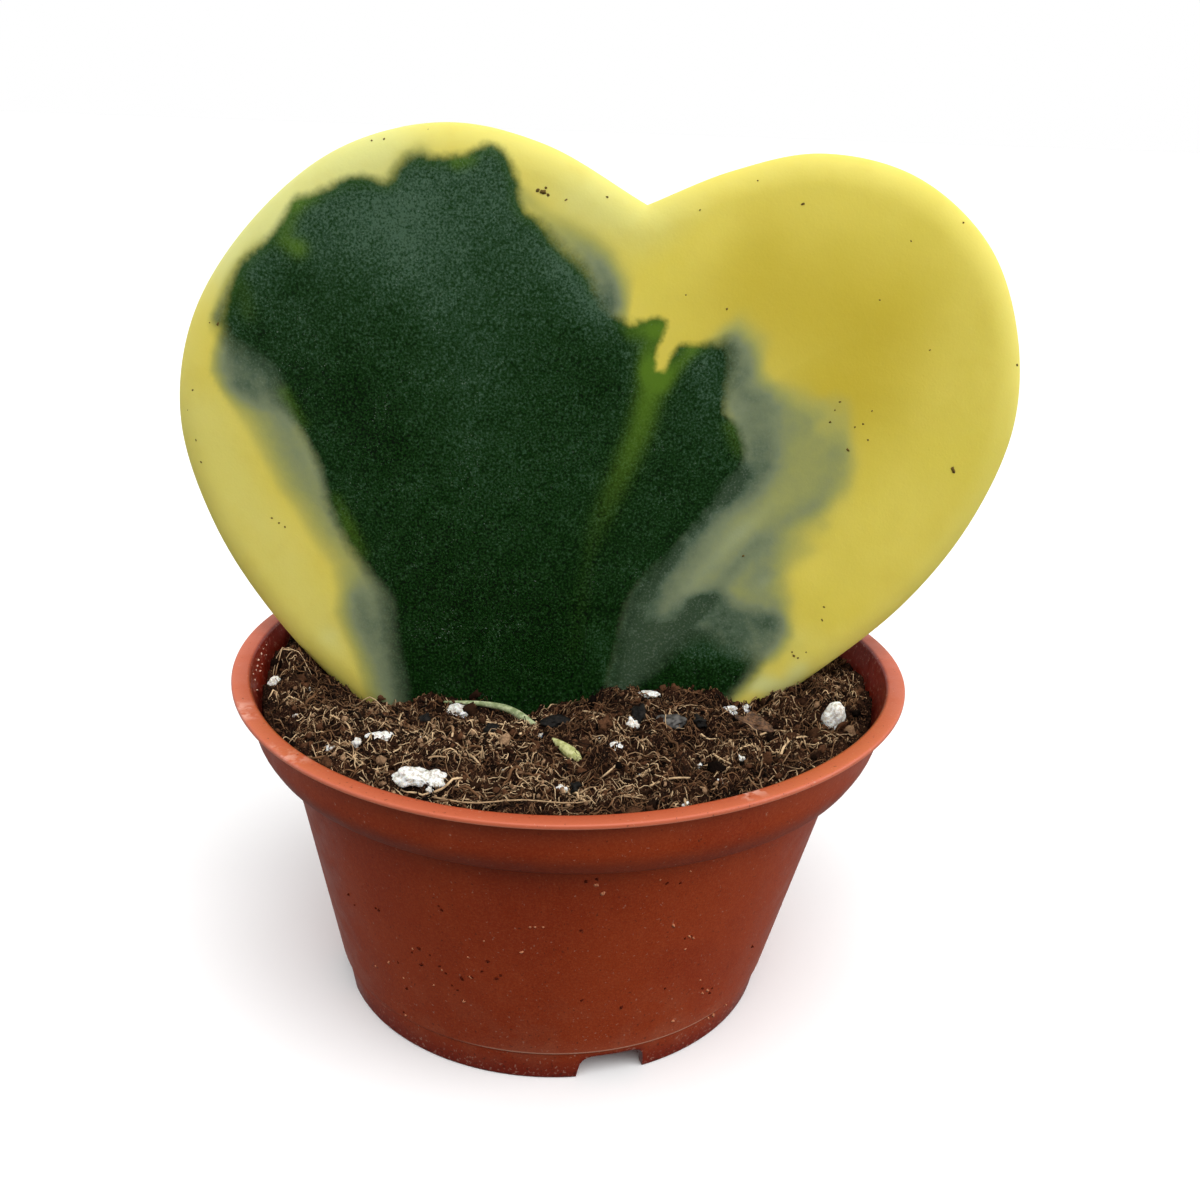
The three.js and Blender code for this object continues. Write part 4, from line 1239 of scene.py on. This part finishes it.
# The smoke's outline on the right, the denser smoke round the lower lobe, and strokes drawn in both.
RIGHT_SMOKE = [
    *[(714, 335), (728, 322), (745, 322), (759, 340), (766, 365), (783, 380), (802, 383), (822, 387)],
    *[(838, 402), (848, 427), (855, 456), (857, 484), (850, 508), (832, 527), (812, 544), (797, 562)],
    *[(789, 582), (795, 600), (802, 620), (799, 638), (780, 657), (760, 671), (744, 685), (728, 705)],
    *[(715, 760), (560, 780), (540, 640), (580, 560), (640, 470), (650, 420), (680, 365)],
]
LOBE_SMOKE = [
    *[(606, 705), (628, 660), (646, 634), (668, 618), (688, 600), (712, 590), (740, 601), (762, 607)],
    *[(784, 616), (793, 632), (778, 654), (760, 668), (730, 710), (680, 750)],
]
SMOKE_STROKES = [
    ([(726, 345), (737, 365), (742, 392), (749, 430), (752, 452), (744, 478), (728, 497)], 1.6, 0.3, 0.3),
    ([(728, 497), (712, 518), (695, 540), (668, 570), (648, 602), (630, 675)], 1.6, 0.14, 0.36, 0.44),
    ([(735, 474), (705, 514), (686, 536), (651, 578), (632, 604), (622, 646), (613, 685)], 1.1, 0.4, 0.4),
    ([(652, 640), (675, 610), (703, 572), (730, 540)], 2.0, 0.34, 0.12),
    ([(766, 398), (772, 410)], 1.3, 0.2, 0.2),
    ([(745, 340), (752, 370), (764, 396)], 1.3, 0.1, 0.22, 0.14),
    ([(770, 436), (766, 466), (748, 494)], 1.4, 0.22, 0.36, 0.16),
    ([(698, 606), (722, 585), (740, 562), (757, 542), (785, 520), (812, 508)], 0.9, 0.24, 0.12),
    ([(772, 556), (762, 582), (772, 604)], 1.7, 0.22, 0.2),
    ([(800, 425), (822, 418), (838, 436), (842, 470), (826, 492)], 1.4, 0.1, 0.1),
    ([(562, 236), (583, 250), (598, 266), (606, 284), (610, 304)], 1.4, 0.35, 0.6, 0.85),
    ([(402, 175), (407, 162), (420, 154)], 0.9, 0.35, 0.25),
    ([(520, 196), (533, 206), (550, 220)], 0.8, 0.25, 0.12),
    ([(262, 243), (249, 254), (237, 268), (228, 286), (217, 318)], 0.6, 0.15, 0.45),
    ([(356, 596), (360, 620), (372, 648)], 1.0, 0.22, 0.06),
    ([(300, 432), (316, 462)], 1.0, -0.15, -0.1),
    ([(236, 384), (252, 394)], 0.8, 0.16, 0.1),
]
# Paler streaks in the smoke.
PALE_STROKES = [
    ([(640, 655), (668, 614), (692, 585), (735, 537), (768, 508), (803, 474)], 1.0, 0.0, 0.22, 0.36, 0.0),
    ([(736, 385), (742, 408), (738, 432)], 0.9, 0.0, 0.25, 0.0),
    ([(748, 604), (762, 584), (786, 566)], 0.8, 0.0, 0.25, 0.0),
    ([(295, 420), (305, 440), (326, 490)], 1.0, 0.0, 0.22, 0.1),
]
LIME_STROKES = [
    ([(655, 374), (648, 400), (640, 430), (627, 460), (613, 491), (596, 530)], 1.35, 0.82, 0.2),
    ([(590, 550), (585, 580), (574, 650)], 1.0, 0.14, 0.08),
    ([(633, 332), (645, 327), (660, 327)], 0.9, 0.5, 0.7),
    ([(655, 335), (648, 352), (649, 370)], 1.0, 0.5, 0.6),
    ([(692, 349), (677, 366), (664, 384)], 0.8, 0.65, 0.4),
    ([(291, 214), (285, 240), (298, 248)], 1.0, 0.35, 0.65),
    ([(298, 203), (312, 197)], 0.8, 0.5, 0.4),
    ([(456, 163), (472, 160)], 0.7, 0.55, 0.4),
    ([(282, 393), (302, 424)], 0.8, 0.5, 0.3),
    ([(731, 426), (739, 450)], 0.9, 0.4, 0.3),
    ([(243, 288), (247, 312)], 1.0, 0.25, 0.25),
    ([(336, 500), (347, 524), (361, 553)], 0.9, 0.3, 0.45, 0.3),
]
# How hazy the dark patch is, for rows of the photograph, and strokes where it is more or less so. The haze
# that grows towards the top is partly a painted sheen.
HAZE_ROWS = [(170, 0.64), (250, 0.6), (310, 0.5), (400, 0.42), (500, 0.37), (600, 0.28), (700, 0.24)]
HAZE_STROKES = [
    ([(330, 215), (400, 205), (490, 190)], 4.0, 0.12, 0.1),
    ([(400, 225), (430, 270), (470, 330), (480, 400), (500, 470)], 3.2, 0.2, 0.06),
    ([(236, 320), (256, 268), (290, 240)], 1.6, 0.2, 0.2),
    ([(560, 258), (600, 315)], 1.8, 0.25, 0.35),
    ([(700, 362), (712, 395), (700, 430)], 2.0, 0.22, 0.12),
    ([(600, 640), (615, 690)], 1.4, 0.2, 0.2),
    ([(310, 385), (350, 395), (382, 445)], 2.8, -0.16, -0.16),
    ([(420, 560), (470, 600), (540, 600)], 4.0, -0.06, -0.06),
    ([(240, 300), (255, 330)], 1.6, -0.22, -0.16),
    ([(285, 255), (300, 280)], 1.6, -0.2, -0.1),
    ([(575, 350), (600, 380)], 2.2, -0.1, -0.1),
    ([(690, 650), (745, 652)], 1.3, 0.3, 0.45),
    ([(640, 345), (628, 372)], 0.8, 0.14, 0.1),
]
# Where the dark patch's edge is softer than elsewhere, because it lies deeper, or sharper.
SOFT_STROKES = [
    ([(388, 184), (405, 156)], 1.0, 0.3, 0.3),
    ([(552, 238), (578, 266), (602, 304)], 1.4, 0.4, 0.4),
    ([(730, 342), (732, 380)], 1.4, 0.6, 0.6),
    ([(217, 330), (245, 355), (275, 385)], 2.0, 0.9, 1.2),
    ([(651, 576), (630, 610), (613, 685)], 2.0, 0.6, 0.8),
    ([(385, 610), (394, 655), (402, 700)], 2.0, 1.0, 1.2),
    ([(312, 450), (325, 500), (347, 555)], 1.6, 0.2, 0.3),
    ([(366, 566), (386, 596)], 1.4, 0.4, 0.8),
    ([(650, 668), (684, 641), (715, 638), (757, 662)], 1.5, 0.9, 0.6),
    ([(715, 638), (757, 662), (728, 700)], 1.6, 0.6, 0.3),
    ([(630, 330), (668, 322), (656, 371), (684, 345)], 1.0, -0.2, -0.2),
]
# Where the yellow is paler, or deeper where the strength is negative.
TINT_STROKES = [
    ([(240, 250), (290, 190), (370, 148)], 5.0, 0.9, 0.75),
    ([(500, 140), (560, 180), (648, 225)], 5.0, 0.3, 0.2),
    ([(760, 290), (870, 330), (850, 380)], 8.0, -0.7, -0.8),
    ([(205, 420), (245, 510), (310, 610)], 4.0, 0.38, 0.38),
    ([(590, 205), (648, 228), (700, 215)], 3.5, 0.35, 0.35),
    ([(960, 500), (900, 575), (850, 620)], 2.0, -0.2, -0.2),
    ([(750, 682), (785, 690), (800, 672)], 1.2, 0.9, 0.6),
    ([(330, 640), (370, 690)], 1.4, 0.35, 0.1),
    ([(795, 640), (830, 640)], 2.0, 0.3, 0.2),
]
places = leaf_points[:, [0, 2]]
front_share = np.ones(len(leaf_points))
front_share[back_start:] = 0.0
dark = depth_inside(places, outline_on_leaf(DARK_PATCH))
dark = np.maximum(dark, depth_inside(places, outline_on_leaf(DARK_LOBE)))

left_in = np.maximum(0.0, depth_inside(places, on_leaf(LEFT_SMOKE)))
row_heights = [on_leaf([(300, row)])[0][1] for row, _, _ in reversed(LEFT_SMOKE_RISE)]
rise = np.interp(places[:, 1], row_heights, [step[1] for step in reversed(LEFT_SMOKE_RISE)])
thickest = np.interp(places[:, 1], row_heights, [step[2] for step in reversed(LEFT_SMOKE_RISE)])
left_smoke = thickest * np.tanh(rise * left_in / thickest)
right_in = depth_inside(places, outline_on_leaf(RIGHT_SMOKE))
lobe_in = depth_inside(places, outline_on_leaf(LOBE_SMOKE))
# The edges of the smoke on the right are ruffled and fade over a few millimetres.
ruffle = 1.6 * (relief(places[:, 0], places[:, 1], 2.3, 51) - 0.5) + 0.8 * (relief(*places.T, 1.1, 52) - 0.5)
right_smoke = 0.37 * smoothstep(-1.3, 3.2, right_in + ruffle)
right_smoke = right_smoke + 0.52 * smoothstep(-0.8, 1.3, lobe_in + 0.4 * ruffle)
smoke = np.maximum(left_smoke, right_smoke)
drawn_in = np.maximum(smoothstep(-0.9, 0.9, right_in), places[:, 0] < on_leaf([(625, 330)])[0][0])
smoke = np.clip(smoke + strokes(places, SMOKE_STROKES) * drawn_in, 0.0, 1.05)

give(leaf_mesh, "dark", dark)
give(leaf_mesh, "smoke", smoke * (0.5 + 0.5 * front_share))
give(leaf_mesh, "pale", strokes(places, PALE_STROKES))
give(leaf_mesh, "lime", strokes(places, LIME_STROKES) * front_share)
haze_heights = [on_leaf([(450, row)])[0][1] for row, _ in reversed(HAZE_ROWS)]
haze = np.interp(places[:, 1], haze_heights, [amount for _, amount in reversed(HAZE_ROWS)])
give(leaf_mesh, "haze", haze + strokes(places, HAZE_STROKES))
give(leaf_mesh, "soft", np.clip(0.52 + strokes(places, SOFT_STROKES) + 0.8 * (1 - front_share), 0.3, 2.0))
give(leaf_mesh, "tint", strokes(places, TINT_STROKES))
give(leaf_mesh, "from_edge", depth_inside(places, edge))

blade = Finish("variegated_blade")
stored = blade.stored
broad = blade.noise(11.0, 2.0)
blotch = blade.noise(3.2, 3.0, 0.55)
ragged = blade.noise(0.9, 4.0, 0.6)
grainy = blade.noise(0.2, 2.0, 0.6)
# The yellow flesh, paler along the top and deeper in the middle of the lobe, with a painted highlight in a
# thin line at the edge.
yellow = blade.mix(blade.ramp(broad, 0.35, 0.65), colour(222, 206, 86), colour(228, 212, 96))
yellow = blade.mix(blade.ramp(stored("tint"), 0.0, 1.0), yellow, colour(218, 220, 146))
yellow = blade.mix(blade.ramp(stored("tint"), 0.0, -1.0), yellow, colour(200, 178, 52))
yellow = blade.mix(blade.ramp(stored("from_edge"), 0.0, 3.4, 0.22, 0.0), yellow, colour(232, 228, 140))
yellow = blade.mix(blade.ramp(blotch, 0.45, 0.8, 0.0, 0.2), yellow, colour(208, 186, 70))
# The smoke, from thin and yellowish to dense and dark.
clouds = blade.sum((ragged, 0.3), (blotch, 0.36), (1.0, 0.67))
density = blade.sum((stored("smoke"), clouds))
thick_smoke = blade.shades(
    density,
    [
        (0.25, colour(178, 175, 94)),
        (0.42, colour(153, 158, 99)),
        (0.6, colour(131, 142, 107)),
        (0.75, colour(110, 123, 95)),
        (0.9, colour(80, 99, 77)),
        (1.0, colour(54, 74, 52)),
    ],
)
skin = blade.mix(blade.ramp(density, -0.04, 0.29), yellow, thick_smoke)
skin = blade.mix(blade.ramp(stored("pale"), 0.0, 1.0), skin, colour(182, 192, 156))
# The dark patch: deep green under a bluish haze, partly a painted sheen, with a velvety grain, and fresh green
# where it is thin.
uneven = blade.sum((stored("dark"), 1.0), (ragged, 0.7), (1.0, -0.29))
dark_amount = blade.ramp(uneven, blade.sum((stored("soft"), -1.0)), stored("soft"))
haze = blade.sum((stored("haze"), 1.0), (blotch, 0.3), (broad, 0.1), (grainy, 1.9), (1.0, -1.12))
green = blade.shades(
    haze,
    [
        (0.0, colour(1, 15, 1)),
        (0.25, colour(5, 36, 2)),
        (0.5, colour(23, 55, 19)),
        (0.75, colour(44, 72, 49)),
        (1.0, colour(70, 97, 75)),
    ],
)
near_yellow = blade.ramp(density, 0.12, 0.45, 1.0, 0.0)
fringe = blade.sum((blade.ramp(stored("dark"), 0.0, 1.4, 0.7, 0.0), near_yellow))
green = blade.mix(fringe, green, colour(44, 78, 22))
lime = blade.sum((stored("lime"), 1.0), (grainy, 0.4), (1.0, -0.2))
green = blade.mix(blade.ramp(lime, 0.0, 1.05), green, colour(88, 122, 32))
skin = blade.mix(dark_amount, skin, green)
# The grain shows on the dense smoke too, and a little white dust lies on both.
grain_share = blade.sum((blade.ramp(density, 0.5, 1.0), blade.ramp(grainy, 0.45, 0.75, 0.0, 0.16)))
grain_share = blade.sum((grain_share, blade.sum((dark_amount, -1.0), (1.0, 1.0))))
skin = blade.mix(grain_share, skin, colour(168, 178, 160))
fine_dust = blade.ramp(blade.noise(0.14, 1.0, shift=6.0), 0.68, 0.76)
dust = blade.sum((fine_dust, blade.ramp(blotch, 0.46, 0.66)))
covered = blade.sum((dark_amount, 0.7), (blade.ramp(density, 0.4, 0.9), 0.3))
skin = blade.mix(blade.sum((blade.sum((dust, covered)), 0.5)), skin, colour(150, 166, 152))
blade.set(
    base_color=skin,
    roughness=blade.ramp(ragged, 0.3, 0.7, 0.42, 0.55),
    subsurface_weight=0.3,
    subsurface_scale=1.0,
    subsurface_radius=(0.001, 0.0008, 0.0004),
    normal=blade.bump(grainy, 0.01, blade.bump(blade.noise(1.6, 3.0), 0.03)),
    specular_ior_level=0.12,
)
new_piece("leaf_blade", leaf_mesh, blade.material, ["leaf"])

# Specks of peat and dirt that stick to the leaf's face: pixels and a radius in millimetres.
LEAF_SPECKS = [
    *[((543, 192), 0.2), ((538, 190), 0.14), ((548, 195), 0.12), ((546, 188), 0.1), ((607, 197), 0.09)],
    *[((566, 200), 0.09), ((218, 324), 0.12), ((210, 323), 0.07), ((372, 141), 0.1), ((384, 139), 0.07)],
    *[((428, 130), 0.07), ((953, 470), 0.19), ((848, 450), 0.12), ((830, 422), 0.09), ((855, 427), 0.08)],
    *[((863, 424), 0.09), ((868, 440), 0.08), ((840, 402), 0.07), ((872, 411), 0.06), ((835, 410), 0.06)],
    *[((794, 656), 0.12), ((798, 658), 0.08), ((792, 652), 0.08), ((806, 652), 0.07), ((822, 620), 0.09)],
    *[((824, 607), 0.08), ((743, 556), 0.1), ((727, 309), 0.09), ((686, 295), 0.06), ((758, 181), 0.08)],
    *[((803, 204), 0.1), ((963, 223), 0.09), ((911, 241), 0.08), ((1017, 365), 0.1), ((193, 390), 0.08)],
    *[((188, 410), 0.07), ((196, 440), 0.07), ((201, 462), 0.08), ((272, 518), 0.08), ((279, 523), 0.08)],
    *[((285, 527), 0.07), ((640, 215), 0.06), ((880, 300), 0.06), ((930, 350), 0.06), ((700, 210), 0.06)],
]
dirt = Finish("leaf_dirt")
dirt.set(base_color=colour(98, 76, 16), roughness=0.9)


def stuck_on(name, middles, halves, turns, material):
    """Small uneven lumps stuck to a surface, as one piece."""
    points, faces = lumps(middles, halves, turns, 0.4, np.arange(len(middles)), 2)
    new_piece(name, new_mesh(name, in_frame(points), faces.tolist()), material)


def specks(name, marks, surface, material):
    """Flat specks stuck to an upright surface, given how far back that lies at (x, z)."""
    middles = [seen_on_front(at, surface) for at, _ in marks]
    halves = [(1.3 * size, 0.5 * size, 0.9 * size) for _, size in marks]
    turns = [(0.0, 2.4 * order, 0.0) for order in range(len(marks))]
    stuck_on(name, middles, halves, turns, material)


def leaf_face(x, z):
    """How far back the blade's face lies."""
    nearest = np.argmin(((front_points[:, [0, 2]] - (x, z)) ** 2).sum(1))
    return front_points[nearest, 1]


def wall_face(x, z):
    """How far back the front of the pot's wall lies."""
    sideways = x + POT_LEAN * (POT_HEIGHT - z)
    return -math.sqrt(max(wall_radius(z) ** 2 - sideways**2, 0.0))


specks("leaf_specks", LEAF_SPECKS, leaf_face, dirt.material)
# Dark specks of peat and pale ones of perlite dust on the pot's wall.
POT_SPECKS = [
    *[((332, 887), 0.14), ((349, 894), 0.12), ((379, 910), 0.13), ((376, 908), 0.1), ((419, 948), 0.17)],
    *[((422, 964), 0.16), ((407, 988), 0.12), ((442, 910), 0.12), ((439, 906), 0.09), ((488, 961), 0.14)],
    *[((497, 978), 0.15), ((462, 978), 0.15), ((472, 977), 0.12), ((482, 971), 0.1), ((501, 975), 0.12)],
    *[((446, 973), 0.1), ((464, 1001), 0.12), ((458, 990), 0.09), ((582, 1000), 0.12), ((586, 881), 0.14)],
    *[((597, 879), 0.14), ((581, 930), 0.11), ((621, 1007), 0.14), ((685, 938), 0.09), ((691, 936), 0.1)],
    *[((702, 988), 0.13), ((709, 993), 0.13), ((712, 988), 0.1), ((752, 946), 0.14), ((763, 944), 0.1)],
    *[((680, 883), 0.1), ((667, 883), 0.12), ((665, 988), 0.1), ((430, 955), 0.09), ((440, 966), 0.09)],
    *[((412, 952), 0.1), ((398, 962), 0.09), ((452, 985), 0.09), ((404, 1012), 0.1), ((355, 905), 0.09)],
]
POT_DUST = [
    *[((596, 885), 0.15), ((603, 893), 0.17), ((530, 927), 0.1), ((535, 927), 0.1), ((543, 927), 0.09)],
    *[((522, 952), 0.13), ((389, 962), 0.12), ((413, 949), 0.1), ((471, 977), 0.14), ((464, 1001), 0.14)],
    *[((406, 1015), 0.12), ((673, 925), 0.14), ((689, 936), 0.13), ((693, 938), 0.1), ((685, 949), 0.1)],
    *[((707, 990), 0.13), ((702, 993), 0.12), ((672, 1021), 0.14), ((434, 985), 0.09), ((442, 970), 0.09)],
    *[((404, 978), 0.1), ((376, 966), 0.09), ((660, 880), 0.08), ((713, 1015), 0.14), ((708, 1018), 0.1)],
    *[((690, 871), 0.09), ((484, 941), 0.08), ((726, 1005), 0.08), ((468, 957), 0.08), ((700, 980), 0.09)],
]
pot_dirt = Finish("pot_dirt")
pot_dirt.set(base_color=colour(84, 24, 8), roughness=0.9, specular_ior_level=0.1)
pot_dust = Finish("pot_dust")
pot_dust.set(base_color=colour(190, 120, 84), roughness=0.9)
specks("pot_specks", POT_SPECKS, wall_face, pot_dirt.material)
specks("pot_dust", POT_DUST, wall_face, pot_dust.material)

# White dust on the inner wall to the left: pixels and a radius in millimetres.
INNER_DUST = [
    *[((259, 643), 0.13), ((261, 654), 0.14), ((264, 636), 0.12), ((268, 631), 0.14), ((258, 660), 0.15)],
    *[((257, 666), 0.12), ((266, 645), 0.1), ((254, 662), 0.1), ((270, 628), 0.1), ((256, 670), 0.1)],
    *[((260, 671), 0.11), ((263, 649), 0.09), ((256, 653), 0.09), ((262, 664), 0.08), ((255, 680), 0.1)],
    *[((272, 634), 0.08), ((266, 655), 0.08), ((253, 674), 0.08), ((257, 690), 0.09), ((267, 638), 0.08)],
]


def seen_on_inner_wall(pixel):
    """Where a pixel of the photograph looks at the pot's inner wall, above the soil."""
    heights = np.linspace(POT_HEIGHT - 0.3, SOIL_LEVEL - 0.5, 90)
    seen = np.array([seen_at_height(pixel, height) for height in heights])
    collar_radii = [COLLAR_INNER_RADIUS, RIM_RADIUS - FLANGE_WIDTH]
    inner_radius = np.interp(heights, [COLLAR_INNER_HEIGHT, POT_HEIGHT], collar_radii)
    return seen[np.argmin(np.abs(np.hypot(seen[:, 0], seen[:, 1]) - inner_radius))]


white_dust = Finish("perlite_dust")
white_dust.set(base_color=colour(208, 172, 152), roughness=0.9)
dust_middles = [seen_on_inner_wall(at) for at, _ in INNER_DUST]
dust_halves = [(0.8 * size, 0.8 * size, 0.8 * size) for _, size in INNER_DUST]
dust_turns = np.zeros((len(INNER_DUST), 3))
stuck_on("inner_dust", dust_middles, dust_halves, dust_turns, white_dust.material)


# Studio. A plain pale floor that throws no light back, a broad soft light above and in front, a low one
# on each side, the stronger on the right, and even light all round that is weaker from low in front.
floor_mesh = bpy.data.meshes.new("floor")
floor_mesh.from_pydata([(-9, -9, 0), (9, -9, 0), (9, 9, 0), (-9, 9, 0)], [], [(0, 1, 2, 3)])
floor = bpy.data.objects.new("floor", floor_mesh)
bpy.context.scene.collection.objects.link(floor)
pale = Finish("pale_floor")
pale.set(base_color=(0.95, 0.95, 0.95, 1.0), roughness=0.9)
floor_mesh.materials.append(pale.material)
floor.visible_diffuse = False
floor.visible_glossy = False


def soft_light(name, comes_from, breadth, strength):
    """A broad distant light that comes from the given direction."""
    lamp_data = bpy.data.lights.new(name, "SUN")
    lamp_data.angle = math.radians(breadth)
    lamp_data.energy = strength
    lamp = bpy.data.objects.new(name, lamp_data)
    lamp.rotation_mode = "QUATERNION"
    lamp.rotation_quaternion = Vector(comes_from).to_track_quat("Z", "Y")
    bpy.context.scene.collection.objects.link(lamp)


soft_light("key", (0.1, -0.5, 0.86), 50.0, 2.15)
soft_light("right", (0.96, -0.24, 0.14), 60.0, 2.6)
soft_light("left", (-0.96, -0.24, 0.06), 60.0, 1.2)
world = bpy.data.worlds.new("studio")
world.use_nodes = True
sky = world.node_tree
background = sky.nodes["Background"]
direction = sky.nodes.new("ShaderNodeTexCoord")
lean_back = sky.nodes.new("ShaderNodeVectorMath")
lean_back.operation = "DOT_PRODUCT"
lean_back.inputs[1].default_value = (0.0, 0.6, 0.8)
height_light = sky.nodes.new("ShaderNodeMapRange")
height_light.inputs["From Min"].default_value = -0.35
height_light.inputs["From Max"].default_value = 0.75
height_light.inputs["To Min"].default_value = 0.11
height_light.inputs["To Max"].default_value = 0.8
rays = sky.nodes.new("ShaderNodeLightPath")
seen = sky.nodes.new("ShaderNodeMix")
seen.inputs[3].default_value = 1.0
sky.links.new(direction.outputs["Generated"], lean_back.inputs[0])
sky.links.new(lean_back.outputs["Value"], height_light.inputs["Value"])
sky.links.new(rays.outputs["Is Camera Ray"], seen.inputs[0])
sky.links.new(height_light.outputs["Result"], seen.inputs[2])
sky.links.new(seen.outputs[0], background.inputs["Strength"])
background.inputs["Color"].default_value = (1.0, 1.0, 1.0, 1.0)
bpy.context.scene.world = world
bpy.context.scene.view_settings.view_transform = "Standard"
